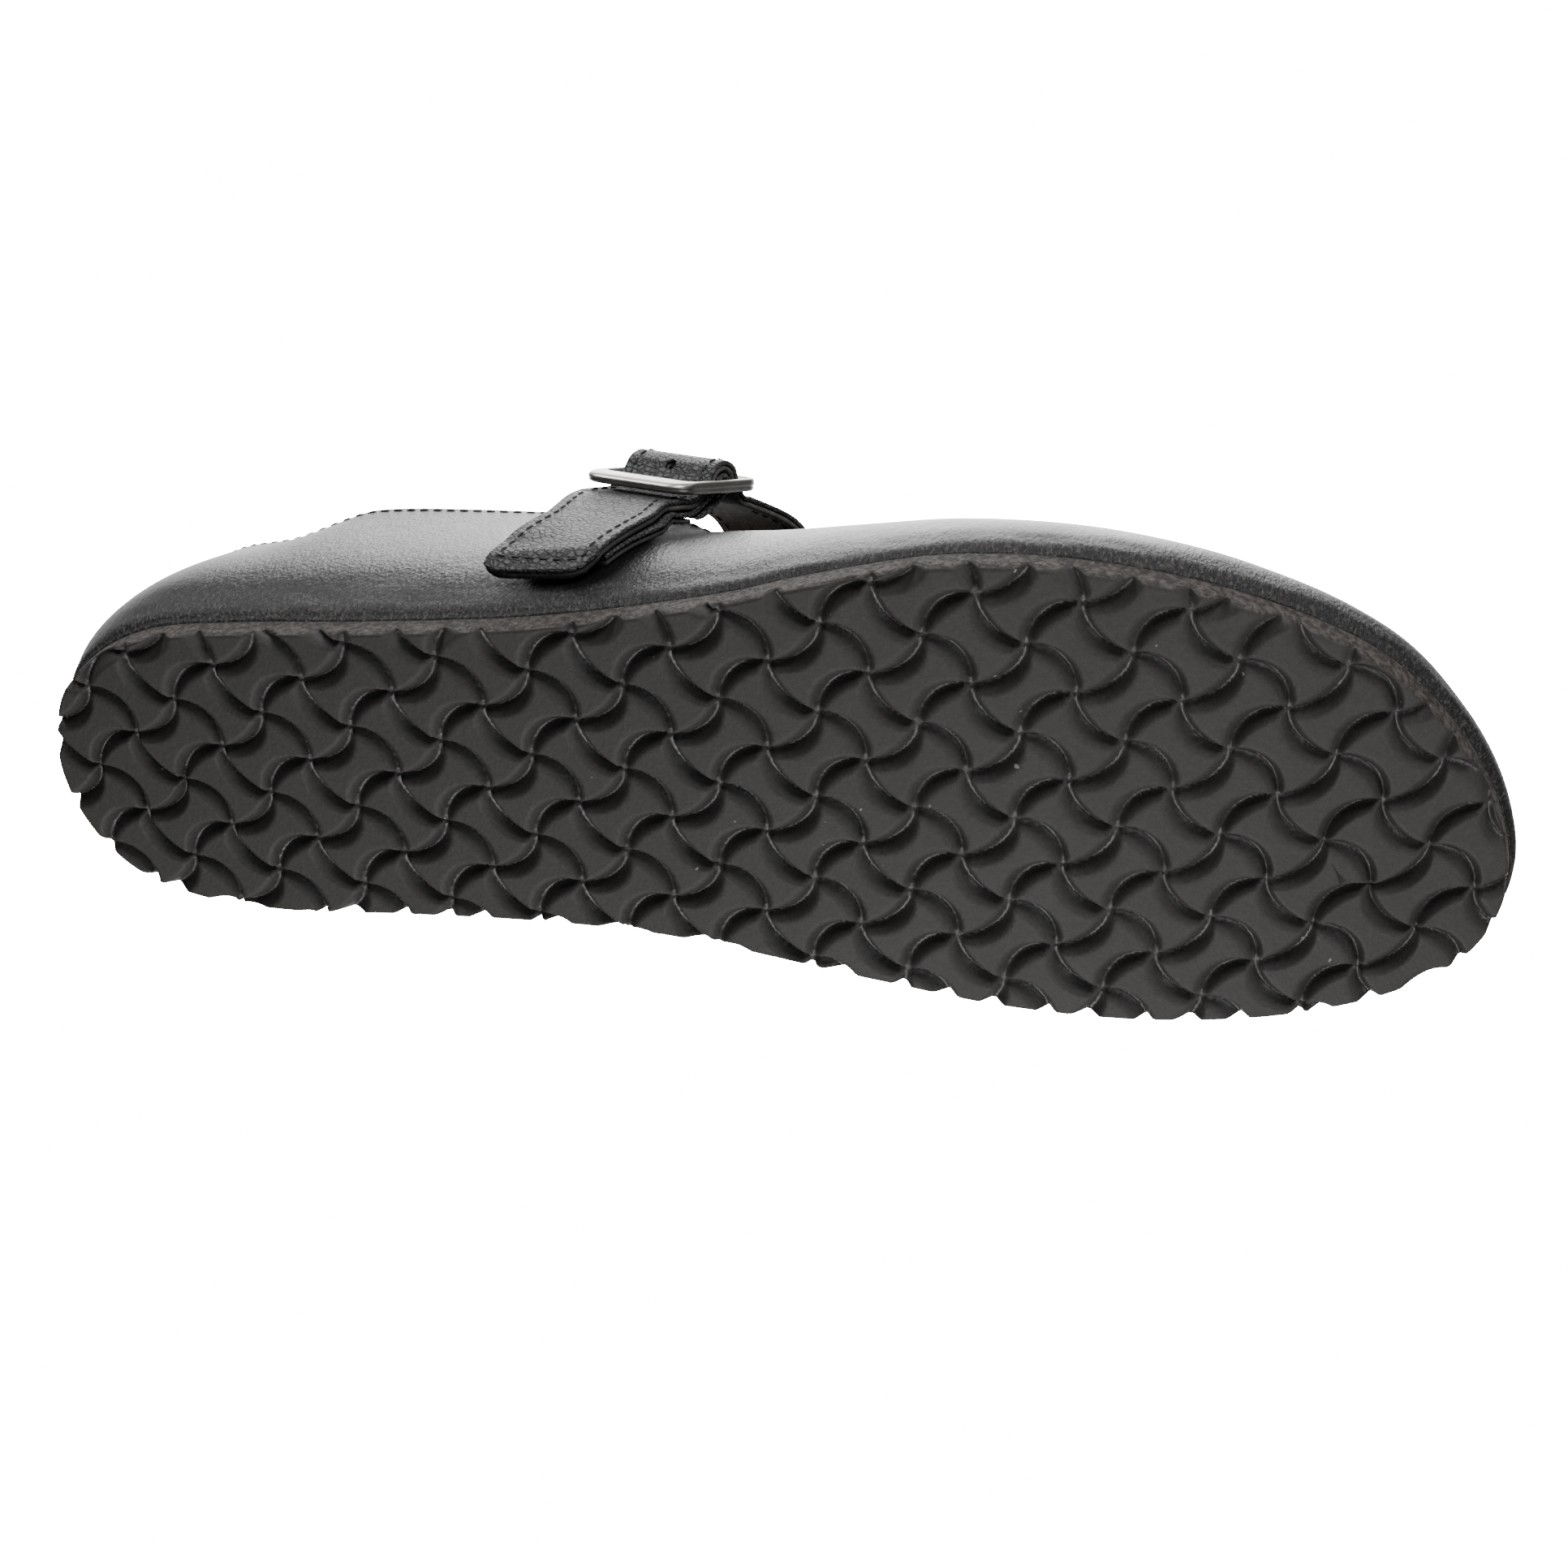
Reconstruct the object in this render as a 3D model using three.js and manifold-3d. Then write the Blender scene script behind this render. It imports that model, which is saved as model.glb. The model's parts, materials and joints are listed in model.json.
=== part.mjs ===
// Right shoe: a closed leather slip-on with a contoured cork footbed, a moulded foam outsole and one
// buckled strap over the instep. Millimetres, +X to the toe, +Y to the inner (medial) side, +Z up.
// The model is laid out with x = 0 at the heel's back and z = 0 on the ground, then moved so that its
// origin is the middle of its footprint.
import * as THREE from "three";
import { mergeVertices } from "three/addons/utils/BufferGeometryUtils.js";
import Module from "manifold-3d";

const wasm = await Module();
wasm.setup();

// ---- Driving dimensions ----
const gap = 0.3; // clearance between pieces that touch

const soleLength = 259;
const soleWidth = 88;
const outsoleThickness = 5;
const toeSpring = 17; // how far the toe end curls up off the ground
const flatLength = 116; // the sole is flat from the heel's back to here

const heelHeight = 60; // upper's top edge at the back of the heel, above the ground
const sideHeight = 59.5; // upper's top edge along the sides
const throatHeight = 72; // instep ridge where the vamp begins
const waistHeight = 54; // ridge over the ball of the foot
const toeHeight = 40; // ridge above the toes' front, above the ground

const leatherThickness = 1.6;
const counterThickness = 1.0; // heel counter, toe puff and top-edge tape lie in this layer
const liningThickness = 0.9;
const heelGripThickness = 0.8;
const lastingMargin = 11; // leather turned in under the footbed

const juteThickness = 0.7;
const suedeThickness = 1.1;
const heelSeat = 11; // footbed's thickness under the heel's middle
const ballSeat = 10; // and under the ball
const toeSeat = 7; // and under the toes
const heelRim = 22; // height of the footbed's raised edge around the heel
const archRim = 24; // and on the inner side at the arch
const toeRim = 11; // and around the toes

const strapWidth = 19.8;
const tailEndWidth = 20.8; // the free end spreads a little
const strapRootWidth = 26; // where the strap leaves the inner side
const strapLeather = 1.0;
const strapLining = 0.8;
const strapX = 96; // strap's crossing of the outer side, from the heel's back
const strapRise = 10; // strap's top above the instep ridge
const tailEndHeight = 11.5; // free end's lowest edge, above the ground
const tailSlant = 2.5; // how far the free end is cut on the slant
const strapLean = 0.25; // how far the strap leans forward for each millimetre that it climbs
const hingeGap = 0.6; // between the strap and its free end, along the strap
const tailSlack = 0.8; // room between the straps' layers beneath the wide bar

const buckleLean = 69; // buckle's tilt up from level, degrees
const buckleLength = 26.2; // across both bars
const buckleClearance = 0.6; // the strap's room between the side bars
const buckleThickness = 2.4;
const wideBar = 7;
const thinBar = 2.4;
const sideBar = 1.3;
const buckleWidth = strapWidth + buckleClearance + 2 * sideBar; // along the bars
const centreBarRadius = 1.0;
const centreToThin = 9; // centre bar's axis to the middle of the thin bar
const rockGap = 0.8; // room under the bars, so that the buckle can rock
const prongRadius = 0.65;
const holeRadius = 1.2;

// ---- Materials ----
const finish = (color, roughness, metalness = 0) =>
  new THREE.MeshStandardMaterial({ color, roughness, metalness, side: THREE.FrontSide });

// ---- The sole's outline ----
// Heel's back, outer side, toe, inner side: shares of the sole's length and width from the heel's back.
const outlineShares = [
  [0, 0.1], [0.01, -0.07], [0.035, -0.16], [0.075, -0.23], [0.14, -0.275], [0.235, -0.32],
  [0.36, -0.39], [0.48, -0.49], [0.55, -0.565], [0.63, -0.63], [0.715, -0.643], [0.81, -0.6],
  [0.9, -0.49], [0.955, -0.33], [0.988, -0.16], [1, 0.005], [0.985, 0.14], [0.945, 0.238],
  [0.88, 0.31], [0.79, 0.35], [0.69, 0.35], [0.6, 0.322], [0.47, 0.286], [0.38, 0.297],
  [0.26, 0.342], [0.165, 0.385], [0.1, 0.388], [0.052, 0.35], [0.017, 0.25],
];
const heelTip = 0;
const toeTip = 15;
const outline = new THREE.CatmullRomCurve3(
  outlineShares.map(([along, across]) => new THREE.Vector3(along * soleLength, across * soleWidth, 0)),
  true,
  "centripetal",
);

const smoothstep = THREE.MathUtils.smoothstep;
const lerp = THREE.MathUtils.lerp;

// A value read off a short table of [position, value] pairs, eased between them.
function profile(table, position) {
  const last = table.length - 1;
  if (position <= table[0][0]) return table[0][1];
  if (position >= table[last][0]) return table[last][1];
  const k = table.findIndex((entry) => entry[0] > position) - 1;
  const before = table[Math.max(k - 1, 0)];
  const after = table[Math.min(k + 2, last)];
  const [x0, y0] = table[k];
  const [x1, y1] = table[k + 1];
  const slope0 = k > 0 ? (y1 - before[1]) / (x1 - before[0]) : (y1 - y0) / (x1 - x0);
  const slope1 = k + 1 < last ? (after[1] - y0) / (after[0] - x0) : (y1 - y0) / (x1 - x0);
  const t = (position - x0) / (x1 - x0);
  const h = x1 - x0;
  return (
    y0 * (1 + 2 * t) * (1 - t) ** 2 + slope0 * h * t * (1 - t) ** 2 +
    y1 * t * t * (3 - 2 * t) + slope1 * h * t * t * (t - 1)
  );
}

// Tables are written for a sole of this length, and stretch with it.
const tableLength = 259;
const tableWidth = 88;
const along = (x) => (x * tableLength) / soleLength;

// The height that the sole's curl adds at x.
function curl(x) {
  const beyond = Math.max(0, x - flatLength) / (soleLength - flatLength);
  return toeSpring * beyond * beyond;
}

// Where one side's outline crosses x, with its outward direction in plan. side -1 is outer, +1 inner.
function edgeAt(side, x) {
  const count = outlineShares.length;
  let low = side < 0 ? heelTip / count : 1;
  let high = toeTip / count;
  for (let step = 0; step < 40; step++) {
    const middle = (low + high) / 2;
    if (outline.getPoint(middle).x < x) low = middle;
    else high = middle;
  }
  const at = (low + high) / 2;
  const point = outline.getPoint(at);
  const tangent = outline.getTangent(at);
  return { point, out: new THREE.Vector3(tangent.y, -tangent.x, 0).normalize() };
}

// Cross-sections along the shoe, closer together at its round ends. Each has an edge point on both
// sides and one point on the spine, which stops short of the heel and toe so that sections fan out.
const stationCount = 24;
const fanLength = 60;
const heelFan = 24; // how far in from the heel's back the spine starts
const toeFan = 27; // and from the toe's front
const stations = Array.from({ length: stationCount + 1 }, (_, i) => {
  const x = (soleLength * (1 - Math.cos((Math.PI * i) / stationCount))) / 2;
  const nearHeel = Math.max(0, 1 - x / fanLength);
  const nearToe = Math.max(0, 1 - (soleLength - x) / fanLength);
  const spineX = x + heelFan * nearHeel ** 2 - toeFan * nearToe ** 2;
  const nudged = THREE.MathUtils.clamp(x, 0.02, soleLength - 0.02);
  return { x, spineX, edge: { "-1": edgeAt(-1, nudged), 1: edgeAt(1, nudged) } };
});
// At the heel's back and the toe's front both sides share one edge point, midway between them.
for (const { edge } of [stations[0], stations[stationCount]]) {
  const point = edge[-1].point.clone().lerp(edge[1].point, 0.5);
  const out = edge[-1].out.clone().add(edge[1].out).normalize();
  edge[-1] = { point, out };
  edge[1] = edge[-1];
}

// ---- The upper's outer surface ----
const seamHeight = outsoleThickness + gap; // where the upper meets the outsole
const throatStart = 92; // the top edge turns in towards the ridge from here
const throatEnd = 140; // and closes on it here
const topEdgeTable = [[0, heelHeight], [22, heelHeight - 4], [42, sideHeight], [118, sideHeight + 1]];
const insetTable = [[0, 5], [22, 8.5], [42, 4.5], [80, 6.5], [118, 9]];
const bulgeTable = [[0, 3.75], [30, 3.5], [100, 2.75], [150, 1.875], [200, 3.25], [240, 2.75], [259, 2.5]];
const ridgeTable = [
  [118, throatHeight], [140, lerp(waistHeight, throatHeight, 0.45)], [165, waistHeight],
  [190, lerp(toeHeight, waistHeight, 0.75)], [215, lerp(toeHeight, waistHeight, 0.42)], [236, toeHeight],
];
const ridgeSideways = [[118, 4], [150, 2], [185, 0], [215, 2], [236, 4]];

// A point on the upper's outer surface: share 0 on the seam with the outsole, 1 on the top edge or ridge.
// Between station edges, any x can be asked for.
function upperPoint(side, x, spineX, edge, share) {
  const turnIn = smoothstep(along(x), throatStart, throatEnd);
  const { point, out } = edge;
  const inset = profile(insetTable, along(x));
  const ridgeX = along(spineX);
  const topX = lerp(point.x - out.x * inset, spineX, turnIn);
  const ridgeY = (profile(ridgeSideways, ridgeX) * soleWidth) / tableWidth;
  const topY = lerp(point.y - out.y * inset, ridgeY, turnIn);
  const topZ = lerp(profile(topEdgeTable, along(x)), profile(ridgeTable, ridgeX), turnIn);
  const quarter = (Math.PI * share) / 2;
  const inwards = lerp(share ** 2, 1 - Math.cos(quarter), turnIn);
  const upwards = lerp(share, Math.sin(quarter), turnIn);
  const bulge =
    profile(bulgeTable, along(x)) * Math.sin(Math.PI * share ** 0.7) * Math.sqrt(1 - share);
  const seamZ = seamHeight + curl(point.x);
  return new THREE.Vector3(
    lerp(point.x, topX, inwards) + out.x * bulge,
    lerp(point.y, topY, inwards) + out.y * bulge,
    lerp(seamZ, topZ, upwards),
  );
}

// The outer surface at a height on one side, with its outward normal.
function wallAt(side, x, height) {
  const edge = edgeAt(side, x);
  let low = 0;
  let high = 1;
  for (let step = 0; step < 40; step++) {
    const middle = (low + high) / 2;
    if (upperPoint(side, x, x, edge, middle).z < height) low = middle;
    else high = middle;
  }
  const here = upperPoint(side, x, x, edge, low);
  const ahead = upperPoint(side, x + 1, x + 1, edgeAt(side, x + 1), low).sub(here);
  const higher = upperPoint(side, x, x, edge, Math.min(low + 0.02, 1)).sub(here);
  const normal = ahead.cross(higher).multiplyScalar(-side).normalize();
  return { here, normal };
}

// ---- Sheets and solids ----
// Points and triangles of a sheet made of an outer and an inner half. Rows run from edge to middle.
// The halves share the end stations, and the last row wherever meets(station) is true.
function sheet(rowCount, meets, keep, pointAt) {
  const points = [];
  const ids = new Map();
  const idOf = (side, i, j) => {
    const shared = i === 0 || i === stationCount || (j === rowCount - 1 && meets(i));
    const key = `${shared ? 0 : side}:${i}:${j}`;
    if (!ids.has(key)) {
      ids.set(key, points.length);
      points.push(pointAt(shared ? -1 : side, i, j));
    }
    return ids.get(key);
  };
  const triangles = [];
  for (const side of [-1, 1]) {
    for (let i = 0; i < stationCount; i++) {
      for (let j = 0; j < rowCount - 1; j++) {
        if (!keep(i, j)) continue;
        const corner = [
          idOf(side, i, j), idOf(side, i + 1, j), idOf(side, i + 1, j + 1), idOf(side, i, j + 1),
        ];
        if (side > 0) corner.reverse();
        triangles.push([corner[0], corner[1], corner[2]], [corner[0], corner[2], corner[3]]);
      }
    }
  }
  return { points, triangles };
}

// One closed solid between two sheets with the same triangles. front faces outwards as it stands.
function solidBetween(front, back, triangles) {
  const used = new Map();
  for (const triangle of triangles) {
    triangle.forEach((a, k) => {
      const b = triangle[(k + 1) % 3];
      if (used.has(`${b}:${a}`)) used.delete(`${b}:${a}`);
      else used.set(`${a}:${b}`, [a, b]);
    });
  }
  const positions = [];
  const push = (...corners) => corners.forEach((c) => positions.push(c.x, c.y, c.z));
  for (const [a, b, c] of triangles) {
    push(front[a], front[b], front[c]);
    push(back[a], back[c], back[b]);
  }
  for (const [a, b] of used.values()) {
    push(front[a], back[a], back[b]);
    push(front[a], back[b], front[b]);
  }
  const geometry = new THREE.BufferGeometry();
  geometry.setAttribute("position", new THREE.Float32BufferAttribute(positions, 3));
  return mergeVertices(geometry, 1e-4);
}

// Area-weighted normals of a sheet's points.
function sheetNormals({ points, triangles }) {
  const normals = points.map(() => new THREE.Vector3());
  for (const [a, b, c] of triangles) {
    const face = points[b].clone().sub(points[a]).cross(points[c].clone().sub(points[a]));
    for (const corner of [a, b, c]) normals[corner].add(face);
  }
  return normals.map((normal) => normal.normalize());
}

// ---- Upper: layers at set depths under the outer surface ----
const shares = [0, 0.06, 0.16, 0.3, 0.46, 0.62, 0.78, 0.9, 0.96, 1];
const marginRows = [lastingMargin, lastingMargin / 2, 1];
const upperRows = marginRows.length + shares.length;
const closed = (i) => along(stations[i].x) >= throatEnd;

function upperGridPoint(side, i, j) {
  const { x, spineX, edge } = stations[i];
  if (j >= marginRows.length) {
    return upperPoint(side, x, spineX, edge[side], shares[j - marginRows.length]);
  }
  const { point, out } = edge[side];
  const turned = point.clone().addScaledVector(out, -marginRows[j]);
  return turned.setZ(seamHeight + curl(turned.x));
}
const wholeUpper = sheet(upperRows, closed, () => true, upperGridPoint);
const upperNormals = sheetNormals(wholeUpper);

// A layer of the upper between two depths, over the cells that keep(station, row) chooses.
function upperLayer(outerDepth, thickness, keep) {
  const part = sheet(upperRows, closed, keep, upperGridPoint);
  const nearest = new Map(wholeUpper.points.map((point, k) => [point.toArray().join(), upperNormals[k]]));
  const at = (depth) =>
    part.points.map((point) => point.clone().addScaledVector(nearest.get(point.toArray().join()), -depth));
  return solidBetween(at(outerDepth), at(outerDepth + thickness), part.triangles);
}
const rowOf = (share) => marginRows.length + shares.findIndex((value) => value >= share);
const stiffenerDepth = leatherThickness + gap;
const liningDepth = stiffenerDepth + counterThickness + gap;
const gripDepth = liningDepth + liningThickness + gap;

const isHeel = (i) => along(stations[i + 1].x) < 62;
const isToe = (i) => along(stations[i].x) > 205;
const isMouth = (i) => along(stations[i + 1].x) < throatEnd + 1;

const upperLeather = upperLayer(0, leatherThickness, () => true);
const upperLining = upperLayer(liningDepth, liningThickness, (i, j) => j >= rowOf(0.06) && j < rowOf(0.96));
const heelCounter = upperLayer(
  stiffenerDepth, counterThickness, (i, j) => isHeel(i) && j >= rowOf(0.06) && j < rowOf(0.78),
);
const toePuff = upperLayer(
  stiffenerDepth, counterThickness, (i, j) => isToe(i) && j >= rowOf(0.06) && j < rowOf(1),
);
const topTape = upperLayer(
  stiffenerDepth, counterThickness, (i, j) => isMouth(i) && j >= rowOf(0.9) && j < rowOf(0.96),
);
const heelGrip = upperLayer(
  gripDepth, heelGripThickness, (i, j) => isHeel(i) && j >= rowOf(0.46) && j < rowOf(0.9),
);

// ---- Sole and footbed: flat-lying layers ----
const ringShares = [0, 0.15, 0.45, 1];

// A layer's points. edgeOf(side, station) gives its rim in plan, heightAt(side, station, ring) its height.
function layerPoints(edgeOf, heightAt) {
  return sheet(ringShares.length, () => true, () => true, (side, i, j) => {
    const rim = edgeOf(side, i);
    const other = edgeOf(-side, i);
    const middle = rim.clone().add(other).multiplyScalar(0.5).setX(stations[i].spineX);
    const ring = ringShares[j];
    const place = rim.clone().lerp(middle, ring);
    return place.setZ(heightAt(side, i, ring, place.x));
  });
}
function insetEdge(inset) {
  return (side, i) => {
    const { point, out } = stations[i].edge[side];
    return point.clone().addScaledVector(out, -inset);
  };
}
function flatLayer(inset, bottom, thickness) {
  const at = (z) => layerPoints(insetEdge(inset), (side, i, ring, x) => z + curl(x));
  const top = at(bottom + thickness);
  return solidBetween(top.points, at(bottom).points, top.triangles);
}

const outsole = flatLayer(0, 0, outsoleThickness);
const footbedInset = gripDepth + heelGripThickness + 0.6; // clear of the lining all round
const footbedBottom = seamHeight + leatherThickness + gap;
const lowerJute = flatLayer(footbedInset, footbedBottom, juteThickness);

// The footbed's raised edge follows the inside of the lining at its own height.
const seatTable = [[0, heelSeat], [90, heelSeat + 2], [165, ballSeat], [240, toeSeat]];
const outerRimTable = [[0, heelRim], [60, heelRim - 2], [130, toeRim + 1], [190, toeRim], [259, toeRim]];
const innerRimTable = [[0, heelRim], [60, archRim - 1], [100, archRim], [160, toeRim + 1], [259, toeRim]];
const rimHeight = (side, i) => profile(side < 0 ? outerRimTable : innerRimTable, along(stations[i].x));

function footbedRim(side, i) {
  const { x, spineX, edge } = stations[i];
  const { point, out } = edge[side];
  const height = footbedBottom + rimHeight(side, i) + curl(x);
  let low = 0;
  let high = 1;
  for (let step = 0; step < 30; step++) {
    const middle = (low + high) / 2;
    if (upperPoint(side, x, spineX, edge[side], middle).z < height) low = middle;
    else high = middle;
  }
  const wall = upperPoint(side, x, spineX, edge[side], low);
  const higher = upperPoint(side, x, spineX, edge[side], low + 0.02).sub(wall);
  const steepness = higher.z / higher.length(); // 1 where the wall is upright
  const reach = wall.sub(point).dot(out);
  return point.clone().addScaledVector(out, reach - footbedInset / steepness);
}
// Height of the footbed's top face, less a depth below it.
function footbedHeight(depth) {
  return (side, i, ring, x) => {
    const seat = profile(seatTable, along(stations[i].x));
    const rim = i === 0 || i === stationCount ? rimHeight(-1, i) : rimHeight(side, i);
    return footbedBottom + curl(x) + seat + (rim - seat) * (1 - ring) ** 3 - depth;
  };
}
const juteDepth = suedeThickness + gap;
const corkDepth = juteDepth + juteThickness + gap;
const footbedSheet = (depth) => layerPoints(footbedRim, footbedHeight(depth));
function footbedLayer(depth, thickness) {
  const top = footbedSheet(depth);
  return solidBetween(top.points, footbedSheet(depth + thickness).points, top.triangles);
}
const footbedSuede = footbedLayer(0, suedeThickness);
const upperJute = footbedLayer(juteDepth, juteThickness);
const corkTop = footbedSheet(corkDepth);
const corkBottom = layerPoints(insetEdge(footbedInset), (side, i, ring, x) =>
  footbedBottom + juteThickness + gap + curl(x),
);
const cork = solidBetween(corkTop.points, corkBottom.points, corkTop.triangles);

// ---- Buckle's own frame: across runs along the bars, up along the strap, out away from the foot ----
const across = new THREE.Vector3(0.94, -0.15, -0.31).normalize();
const lean = THREE.MathUtils.degToRad(buckleLean);
const out = new THREE.Vector3(0, -Math.sin(lean), Math.cos(lean));
out.addScaledVector(across, -out.dot(across)).normalize();
const up = new THREE.Vector3().crossVectors(out, across).normalize();

const strapThickness = strapLeather + gap + strapLining;
const loopLeather = 1.0;
const loopInner = centreBarRadius + gap;
const loopOuter = loopInner + loopLeather;
const strapRadius = loopOuter + gap + strapThickness; // grain face where it rides over the centre bar
const barBottom = -buckleThickness / 2;
const underBar = barBottom - rockGap; // grain face where it runs under the bars
const wideBarStart = centreToThin + thinBar / 2 - buckleLength;
const wideBarEnd = wideBarStart + wideBar;

// The centre bar stands off the side wall by everything that passes beneath the wide bar.
const strapStack = strapThickness + gap + loopLeather + gap + loopLeather + gap + tailSlack;
const buckleHeight = sideHeight - 12.6; // the wide bar's middle is beside the wall at this height
const besideBuckle = wallAt(-1, strapX + 1.1, buckleHeight);
const wideBarMiddle = (wideBarStart + wideBarEnd) / 2;
const buckleOrigin = besideBuckle.here
  .clone()
  .addScaledVector(out, strapStack - underBar)
  .addScaledVector(up, -wideBarMiddle);
const inBuckle = (a, u, o) =>
  buckleOrigin.clone().addScaledVector(across, a).addScaledVector(up, u).addScaledVector(out, o);

// ---- Straps ----
// A strap's grain face runs along a curve; across it lies flat along a direction that may turn.
// standOff(point) is how far its grain face keeps from the upper where it lies on it.
function strapPath(points, standOff, turnTo = across) {
  const curve = new THREE.CatmullRomCurve3(points, false, "centripetal");
  curve.arcLengthDivisions = 400;
  const length = curve.getLength();
  const frameAt = (distance) => {
    const t = THREE.MathUtils.clamp(distance / length, 0, 1);
    const tangent = curve.getTangentAt(t);
    const flat = across.clone().lerp(turnTo, smoothstep(t, 0.45, 1));
    flat.addScaledVector(tangent, -flat.dot(tangent)).normalize();
    const normal = new THREE.Vector3().crossVectors(flat, tangent).normalize();
    return { place: curve.getPointAt(t), flat, normal };
  };
  return { length, frameAt, standOff };
}

// Pushes a strap's point out of the upper's side until its layer lies where it should.
function clearOfUpper(point, path, depth) {
  const { here, normal } = wallAt(Math.sign(point.y), point.x, point.z);
  if (here.z < point.z - 0.1) return point; // above the top edge
  const short = path.standOff(point) - depth - point.clone().sub(here).dot(normal);
  return short > 0 ? point.addScaledVector(normal, short) : point;
}

// A strip of the strap from one distance to another, between two depths under the grain face.
// endAt(side) moves the end along the strap; halfWidthAt(distance) is half its width.
function strip(path, from, to, steps, columns, depth, thickness, halfWidthAt, endAt = () => 0) {
  const front = [];
  const back = [];
  for (let i = 0; i <= steps; i++) {
    for (let j = 0; j <= columns; j++) {
      const side = (2 * j) / columns - 1;
      const distance = lerp(from + endAt(side), to, i / steps);
      const { place, flat, normal } = path.frameAt(distance);
      const point = place.addScaledVector(flat, side * halfWidthAt(distance));
      front.push(clearOfUpper(point.clone().addScaledVector(normal, -depth), path, depth));
      back.push(clearOfUpper(point.addScaledVector(normal, -depth - thickness), path, depth + thickness));
    }
  }
  const triangles = [];
  const wide = columns + 1;
  for (let i = 0; i < steps; i++) {
    for (let j = 0; j < columns; j++) {
      const a = i * wide + j;
      triangles.push([a, a + 1, a + wide + 1], [a, a + wide + 1, a + wide]);
    }
  }
  return solidBetween(front, back, triangles);
}

// Joins and cuts
function toSolid(geometry) {
  const bare = geometry.clone();
  for (const name of Object.keys(bare.attributes)) {
    if (name !== "position") bare.deleteAttribute(name);
  }
  const merged = mergeVertices(bare.index ? bare.toNonIndexed() : bare, 1e-4);
  return new wasm.Manifold(
    new wasm.Mesh({
      numProp: 3,
      vertProperties: new Float32Array(merged.attributes.position.array),
      triVerts: new Uint32Array(merged.index.array),
    }),
  );
}
function toGeometry(solid) {
  const { vertProperties, triVerts } = solid.getMesh();
  const geometry = new THREE.BufferGeometry();
  geometry.setAttribute("position", new THREE.Float32BufferAttribute(vertProperties, 3));
  geometry.setIndex(new THREE.BufferAttribute(triVerts, 1));
  return geometry;
}

// A rod between two points.
function rod(start, end, radius, sides = 16) {
  const direction = end.clone().sub(start);
  const geometry = new THREE.CylinderGeometry(radius, radius, direction.length(), sides);
  const turn = new THREE.Quaternion().setFromUnitVectors(new THREE.Vector3(0, 1, 0), direction.normalize());
  return geometry.applyQuaternion(turn).translate(...start.clone().add(end).multiplyScalar(0.5).toArray());
}

// Grain face of the long strap: free end low on the outer side, under the wide bar, over the centre
// bar, under the thin bar, over the instep and down the inner side.
const onOuterWall = (height, offset) => {
  const { here, normal } = wallAt(-1, strapX - 5 + strapLean * (height - tailEndHeight), height);
  return here.addScaledVector(normal, offset);
};
const onInnerWall = (x, height, offset) => {
  const { here, normal } = wallAt(1, x, height);
  return here.addScaledVector(normal, offset);
};
const tailRun = buckleHeight - wideBar - tailEndHeight; // height that the free end covers below the buckle
const tailStandOff = gap + strapThickness;
const wallStrap = loopLeather + gap + strapLining + gap; // the buckle's own strap, beneath the tail
const shortFoot = seamHeight + 15; // its sewn lower end
const overShort = (height) => wallStrap * smoothstep(height, shortFoot - 9, shortFoot - 3.5);
const throatTop = throatHeight + strapRise;
const crossing = (x, y, below) => new THREE.Vector3(x, y, throatTop - below);
const longPath = strapPath(
  [
    onOuterWall(tailEndHeight, tailStandOff + 0.1),
    onOuterWall(tailEndHeight + tailRun * 0.32, tailStandOff + wallStrap),
    onOuterWall(tailEndHeight + tailRun * 0.68, tailStandOff + wallStrap + 0.4),
    inBuckle(0, wideBarStart - 2, underBar - 0.2),
    inBuckle(0, wideBarMiddle, underBar),
    inBuckle(0, wideBarEnd + 0.6, underBar + 0.3),
    inBuckle(0, -strapRadius * 1.05, strapRadius * 0.28),
    inBuckle(0, -strapRadius * 0.68, strapRadius * 0.76),
    inBuckle(0, 0, strapRadius),
    inBuckle(0, strapRadius * 0.68, strapRadius * 0.76),
    inBuckle(0, strapRadius * 1.05, strapRadius * 0.2),
    inBuckle(0, centreToThin - thinBar / 2 - 0.7, underBar + 0.1),
    inBuckle(0, centreToThin + thinBar / 2, underBar - 0.7),
    crossing(strapX + 17, -19, 4.5),
    crossing(strapX + 21, -2, 0),
    crossing(strapX + 21, 13, 6),
    onInnerWall(strapX + 20, sideHeight - 2, tailStandOff + 3),
    onInnerWall(strapX + 18, sideHeight - 15, tailStandOff + 0.6),
    onInnerWall(strapX + 15, sideHeight - 30, tailStandOff + 0.3),
    onInnerWall(strapX + 13, seamHeight + 9, tailStandOff + 0.3),
  ],
  ({ y, z }) => tailStandOff + (y < 0 ? overShort(z) + 0.1 : 0.2),
  new THREE.Vector3(1, 0.1, 0.12),
);
// Distance along a path to the frame nearest a point.
function distanceTo(path, target) {
  let best = 0;
  let nearest = Infinity;
  for (let k = 0; k <= 600; k++) {
    const distance = (path.length * k) / 600;
    const away = path.frameAt(distance).place.distanceTo(target);
    if (away < nearest) [nearest, best] = [away, distance];
  }
  return best;
}
const tailHinge = distanceTo(longPath, inBuckle(0, wideBarStart - 1.6, underBar));
const throughThin = distanceTo(longPath, inBuckle(0, centreToThin, underBar));
const longHalfWidth = (distance) => {
  const beyond = smoothstep(distance, throughThin, longPath.length);
  const endwards = 1 - smoothstep(distance, 0, tailHinge);
  return (strapWidth + (strapRootWidth - strapWidth) * beyond + (tailEndWidth - strapWidth) * endwards) / 2;
};
const endSlant = (side) => (tailSlant * (1 + side)) / 2 + (side > 0 ? 5 : 1.2) * Math.abs(side) ** 6;
const liningLayer = strapLeather + gap;
const strapOuterWhole = strip(
  longPath, tailHinge + hingeGap / 2, longPath.length, 60, 2, 0, strapLeather, longHalfWidth,
);
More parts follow.
